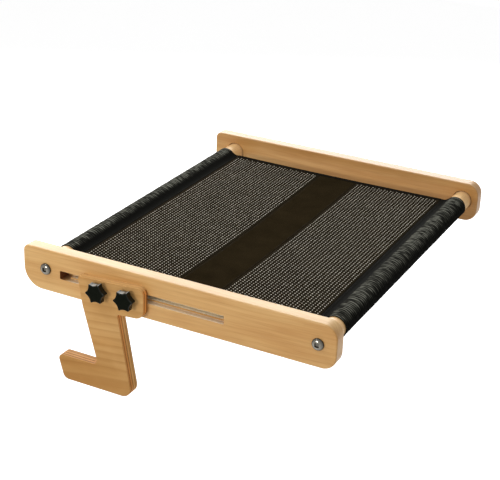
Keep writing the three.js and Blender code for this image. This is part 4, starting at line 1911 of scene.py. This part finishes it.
    def stitches(self, name: str) -> Workpiece:
        """Sews the rows of stitches along the hems, the band's seams and the bound edges.

        Args:
            name: The piece's name.

        Returns:
            All stitches.
        """
        start, stop = self.stitch_margins
        y = np.arange(start - self.half_width, self.half_width - stop, self.stitch_pitch)
        x = np.arange(self.window_seam_x + start, self.room_seam_x - stop, self.stitch_pitch)
        hems = [self.window_seam_x - inset for inset in self.hem_stitch_insets]
        hems += [self.room_seam_x + inset for inset in self.hem_stitch_insets]
        seams = (self.band_low_x + self.band_stitch_inset, self.band_high_x - self.band_stitch_inset)
        rows = [(hem, y, self.level + self.hem_stitch_lift) for hem in hems]
        rows += [(seam, y, self.top(np.full_like(y, seam), y)) for seam in seams]
        sewn_along_y = len(rows) * len(y)
        for side in (-1.0, 1.0):
            edge_y = side * (self.half_width - self.binding_width + self.edge_stitch_inset)
            level = self.top(x, np.full_like(x, side * self.half_width))
            rows.append((x, edge_y, level + self.edge_stitch_lift))
        places = np.concatenate([np.stack(np.broadcast_arrays(*row), axis=1) for row in rows])
        turns = np.tile(np.eye(3), (len(places), 1, 1))
        turns[sewn_along_y:] = np.array([[0, -1, 0], [1, 0, 0], [0, 0, 1]], float)
        return strewn(name, self.stitch_pattern(), places, turns)

    def dress(self, finishes: Finishes) -> None:
        """Makes the cloth pieces and gives each its cloth.

        Args:
            finishes: The materials.
        """
        gap = self.seam_gap
        stitches = self.stitches("seam_stitches").dressed(finishes.thread, "perch", "band_cloth", crease=0)
        for end, side in zip(End, (-1.0, 1.0)):
            tape = self.binding(f"{end.value}_edge_binding", side)
            tape.dressed(finishes.binding, "perch", "band_cloth", crease=0)
        spans = (
            (Place.WINDOW, self.window_seam_x + gap, self.band_low_x - gap),
            (Place.ROOM, self.band_high_x + gap, self.room_seam_x - gap),
        )
        for place, low_x, high_x in spans:
            node = f"{place.value}_mesh_panel"
            floats = self.floats(f"{place.value}_mesh_floats", low_x, high_x)
            floats.dressed(finishes.float, "perch", "mesh_cloth", crease=0)
            panel = self.panel(f"fine_{node}", low_x, high_x, self.panel_cells)
            panel.dressed(finishes.mesh, "perch", "mesh_cloth", [node], crease=0)
            log.info("%s laid, with its floats", node)
        band = self.panel("fine_centre_band", self.band_low_x, self.band_high_x, self.band_cells)
        band.dressed(finishes.band, "perch", "band_cloth", ["centre_band"], crease=0)
        seams = (self.window_seam_x, self.room_seam_x)
        pale_sides = ((-0.15, 0.99), (0.1, 0.99))
        for place, dowel_x, seam_x, pale_side in zip(Place, LAYOUT.dowel_xs, seams, pale_sides):
            sleeve = self.sleeve(f"fine_{place.value}_sleeve", dowel_x, seam_x, pale_side)
            sleeve.dressed(finishes.sleeve, "perch", "sleeve_cloth", [f"{place.value}_sleeve"], crease=0)
            log.info("%s sleeve gathered", place.value)


@dataclass(frozen=True)
class Lamp:
    """One soft rectangular lamp that faces the perch, its power in watts."""

    name: str
    place: Point
    size: Span
    power: float

    def hang(self) -> None:
        """Hangs the lamp."""
        data = bpy.data.lights.new(self.name, "AREA")
        data.shape = "RECTANGLE"
        data.size, data.size_y = self.size
        data.energy = self.power
        made = bpy.data.objects.new(self.name, data)
        bpy.context.scene.collection.objects.link(made)
        made.location = self.place
        made.rotation_mode = "QUATERNION"
        made.rotation_quaternion = (-Vector(self.place)).to_track_quat("-Z", "Y")


@dataclass
class Studio:
    """The camera, the soft lamps and the pale floor."""

    eye: Point = (707.4 * MM, -1468.0 * MM, 747.4 * MM)
    yaw: float = 26.67
    pitch: float = 24.26
    roll: float = 2.12
    lens: float = 89.57
    sensor: float = 36
    clip: Span = (0.01, 100)
    floor_z: float = -0.57
    floor_size: float = 8.0
    floor_colours: Tuple[Colour, Colour] = ((0.74, 0.74, 0.74), (0.76, 0.76, 0.76))
    floor_glow: float = 0.6
    ambient: float = 0.46
    lamps: Tuple[Lamp, ...] = (
        Lamp("top_lamp", (0.15, -0.35, 1.7), (1.5, 1.5), 4.0),
        Lamp("window_lamp", (-1.1, 2.0, 1.05), (2.6, 1.5), 63.0),
        Lamp("front_lamp", (-0.5, -2.1, 0.42), (0.5, 0.3), 12.5),
        Lamp("key_lamp", (-0.75, -0.55, 1.35), (0.3, 0.3), 7.0),
    )

    def camera(self) -> None:
        """Sets the camera where the photograph was taken from."""
        yaw, pitch, roll = (math.radians(angle) for angle in (self.yaw, self.pitch, self.roll))
        flat = math.cos(pitch)
        ahead = Vector((-math.sin(yaw) * flat, math.cos(yaw) * flat, -math.sin(pitch)))
        level = Vector((math.cos(yaw), math.sin(yaw), 0))
        upright = level.cross(ahead)
        right = math.cos(roll) * level + math.sin(roll) * upright
        up = -math.sin(roll) * level + math.cos(roll) * upright
        data = bpy.data.cameras.new("camera")
        data.lens, data.sensor_width = self.lens, self.sensor
        data.clip_start, data.clip_end = self.clip
        made = bpy.data.objects.new("camera", data)
        bpy.context.scene.collection.objects.link(made)
        turn = Matrix((right, up, -ahead)).transposed().to_4x4()
        made.matrix_world = Matrix.Translation(self.eye) @ turn
        bpy.context.scene.camera = made

    def floor(self) -> None:
        """Lays the pale floor below the hanging perch."""
        deselect_all()
        bpy.ops.mesh.primitive_plane_add(size=self.floor_size, location=(0, 0, self.floor_z))
        plane = Workpiece("floor")
        plane.settle()
        recipe = Recipe("pale_floor")
        faint = recipe.noise(recipe.coordinates(), 3.0, 2.0)
        path = recipe.add("ShaderNodeLightPath").outputs
        seen = recipe.highest(path["Is Camera Ray"], path["Is Glossy Ray"])
        recipe.set(
            Base_Color=recipe.ramp(faint, list(zip((0.0, 1.0), self.floor_colours))),
            Roughness=0.9,
            Emission_Color=WHITE,
            Emission_Strength=recipe.times(seen, self.floor_glow),
        )
        plane.made.data.materials.append(recipe.material)

    def world(self) -> None:
        """Gives the room a plain white backdrop and a softer ambient light."""
        world = bpy.data.worlds.new("studio")
        bpy.context.scene.world = world
        world.use_nodes = True
        nodes = Nodes(world.node_tree)
        path = nodes.add("ShaderNodeLightPath").outputs
        seen = nodes.highest(path["Is Camera Ray"], path["Is Glossy Ray"], path["Is Transmission Ray"])
        soft = nodes.fed("ShaderNodeBackground", WHITE, self.ambient).outputs[0]
        white = nodes.fed("ShaderNodeBackground", WHITE, 1.0).outputs[0]
        nodes.fed("ShaderNodeOutputWorld", nodes.fed("ShaderNodeMixShader", seen, soft, white).outputs[0])

    def build(self) -> None:
        """Sets up the whole studio."""
        bpy.context.scene.view_settings.view_transform = "Standard"
        self.camera()
        self.world()
        self.floor()
        for lamp in self.lamps:
            lamp.hang()


def main() -> None:
    """Builds the studio and every sub-assembly of the perch in order."""
    logging.basicConfig(level=logging.INFO, format="%(name)s: %(message)s")
    Studio().build()
    log.info("studio set up")
    finishes = Finishes()
    for assembly in (RailPair(), DowelPair(), BoltSet(), BracketPair(), ClampSet(), ClothBed()):
        assembly.dress(finishes)
        log.info("%s built", type(assembly).__name__)
    for end in End:
        for place in Place:
            for kind in ("dowel_insert", "knob_insert"):
                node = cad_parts[f"{end.value}_{place.value}_{kind}"]
                node.data.materials.clear()
                node.data.materials.append(finishes.brass)
    log.info("inserts plated")


if __name__ == "__main__":
    main()
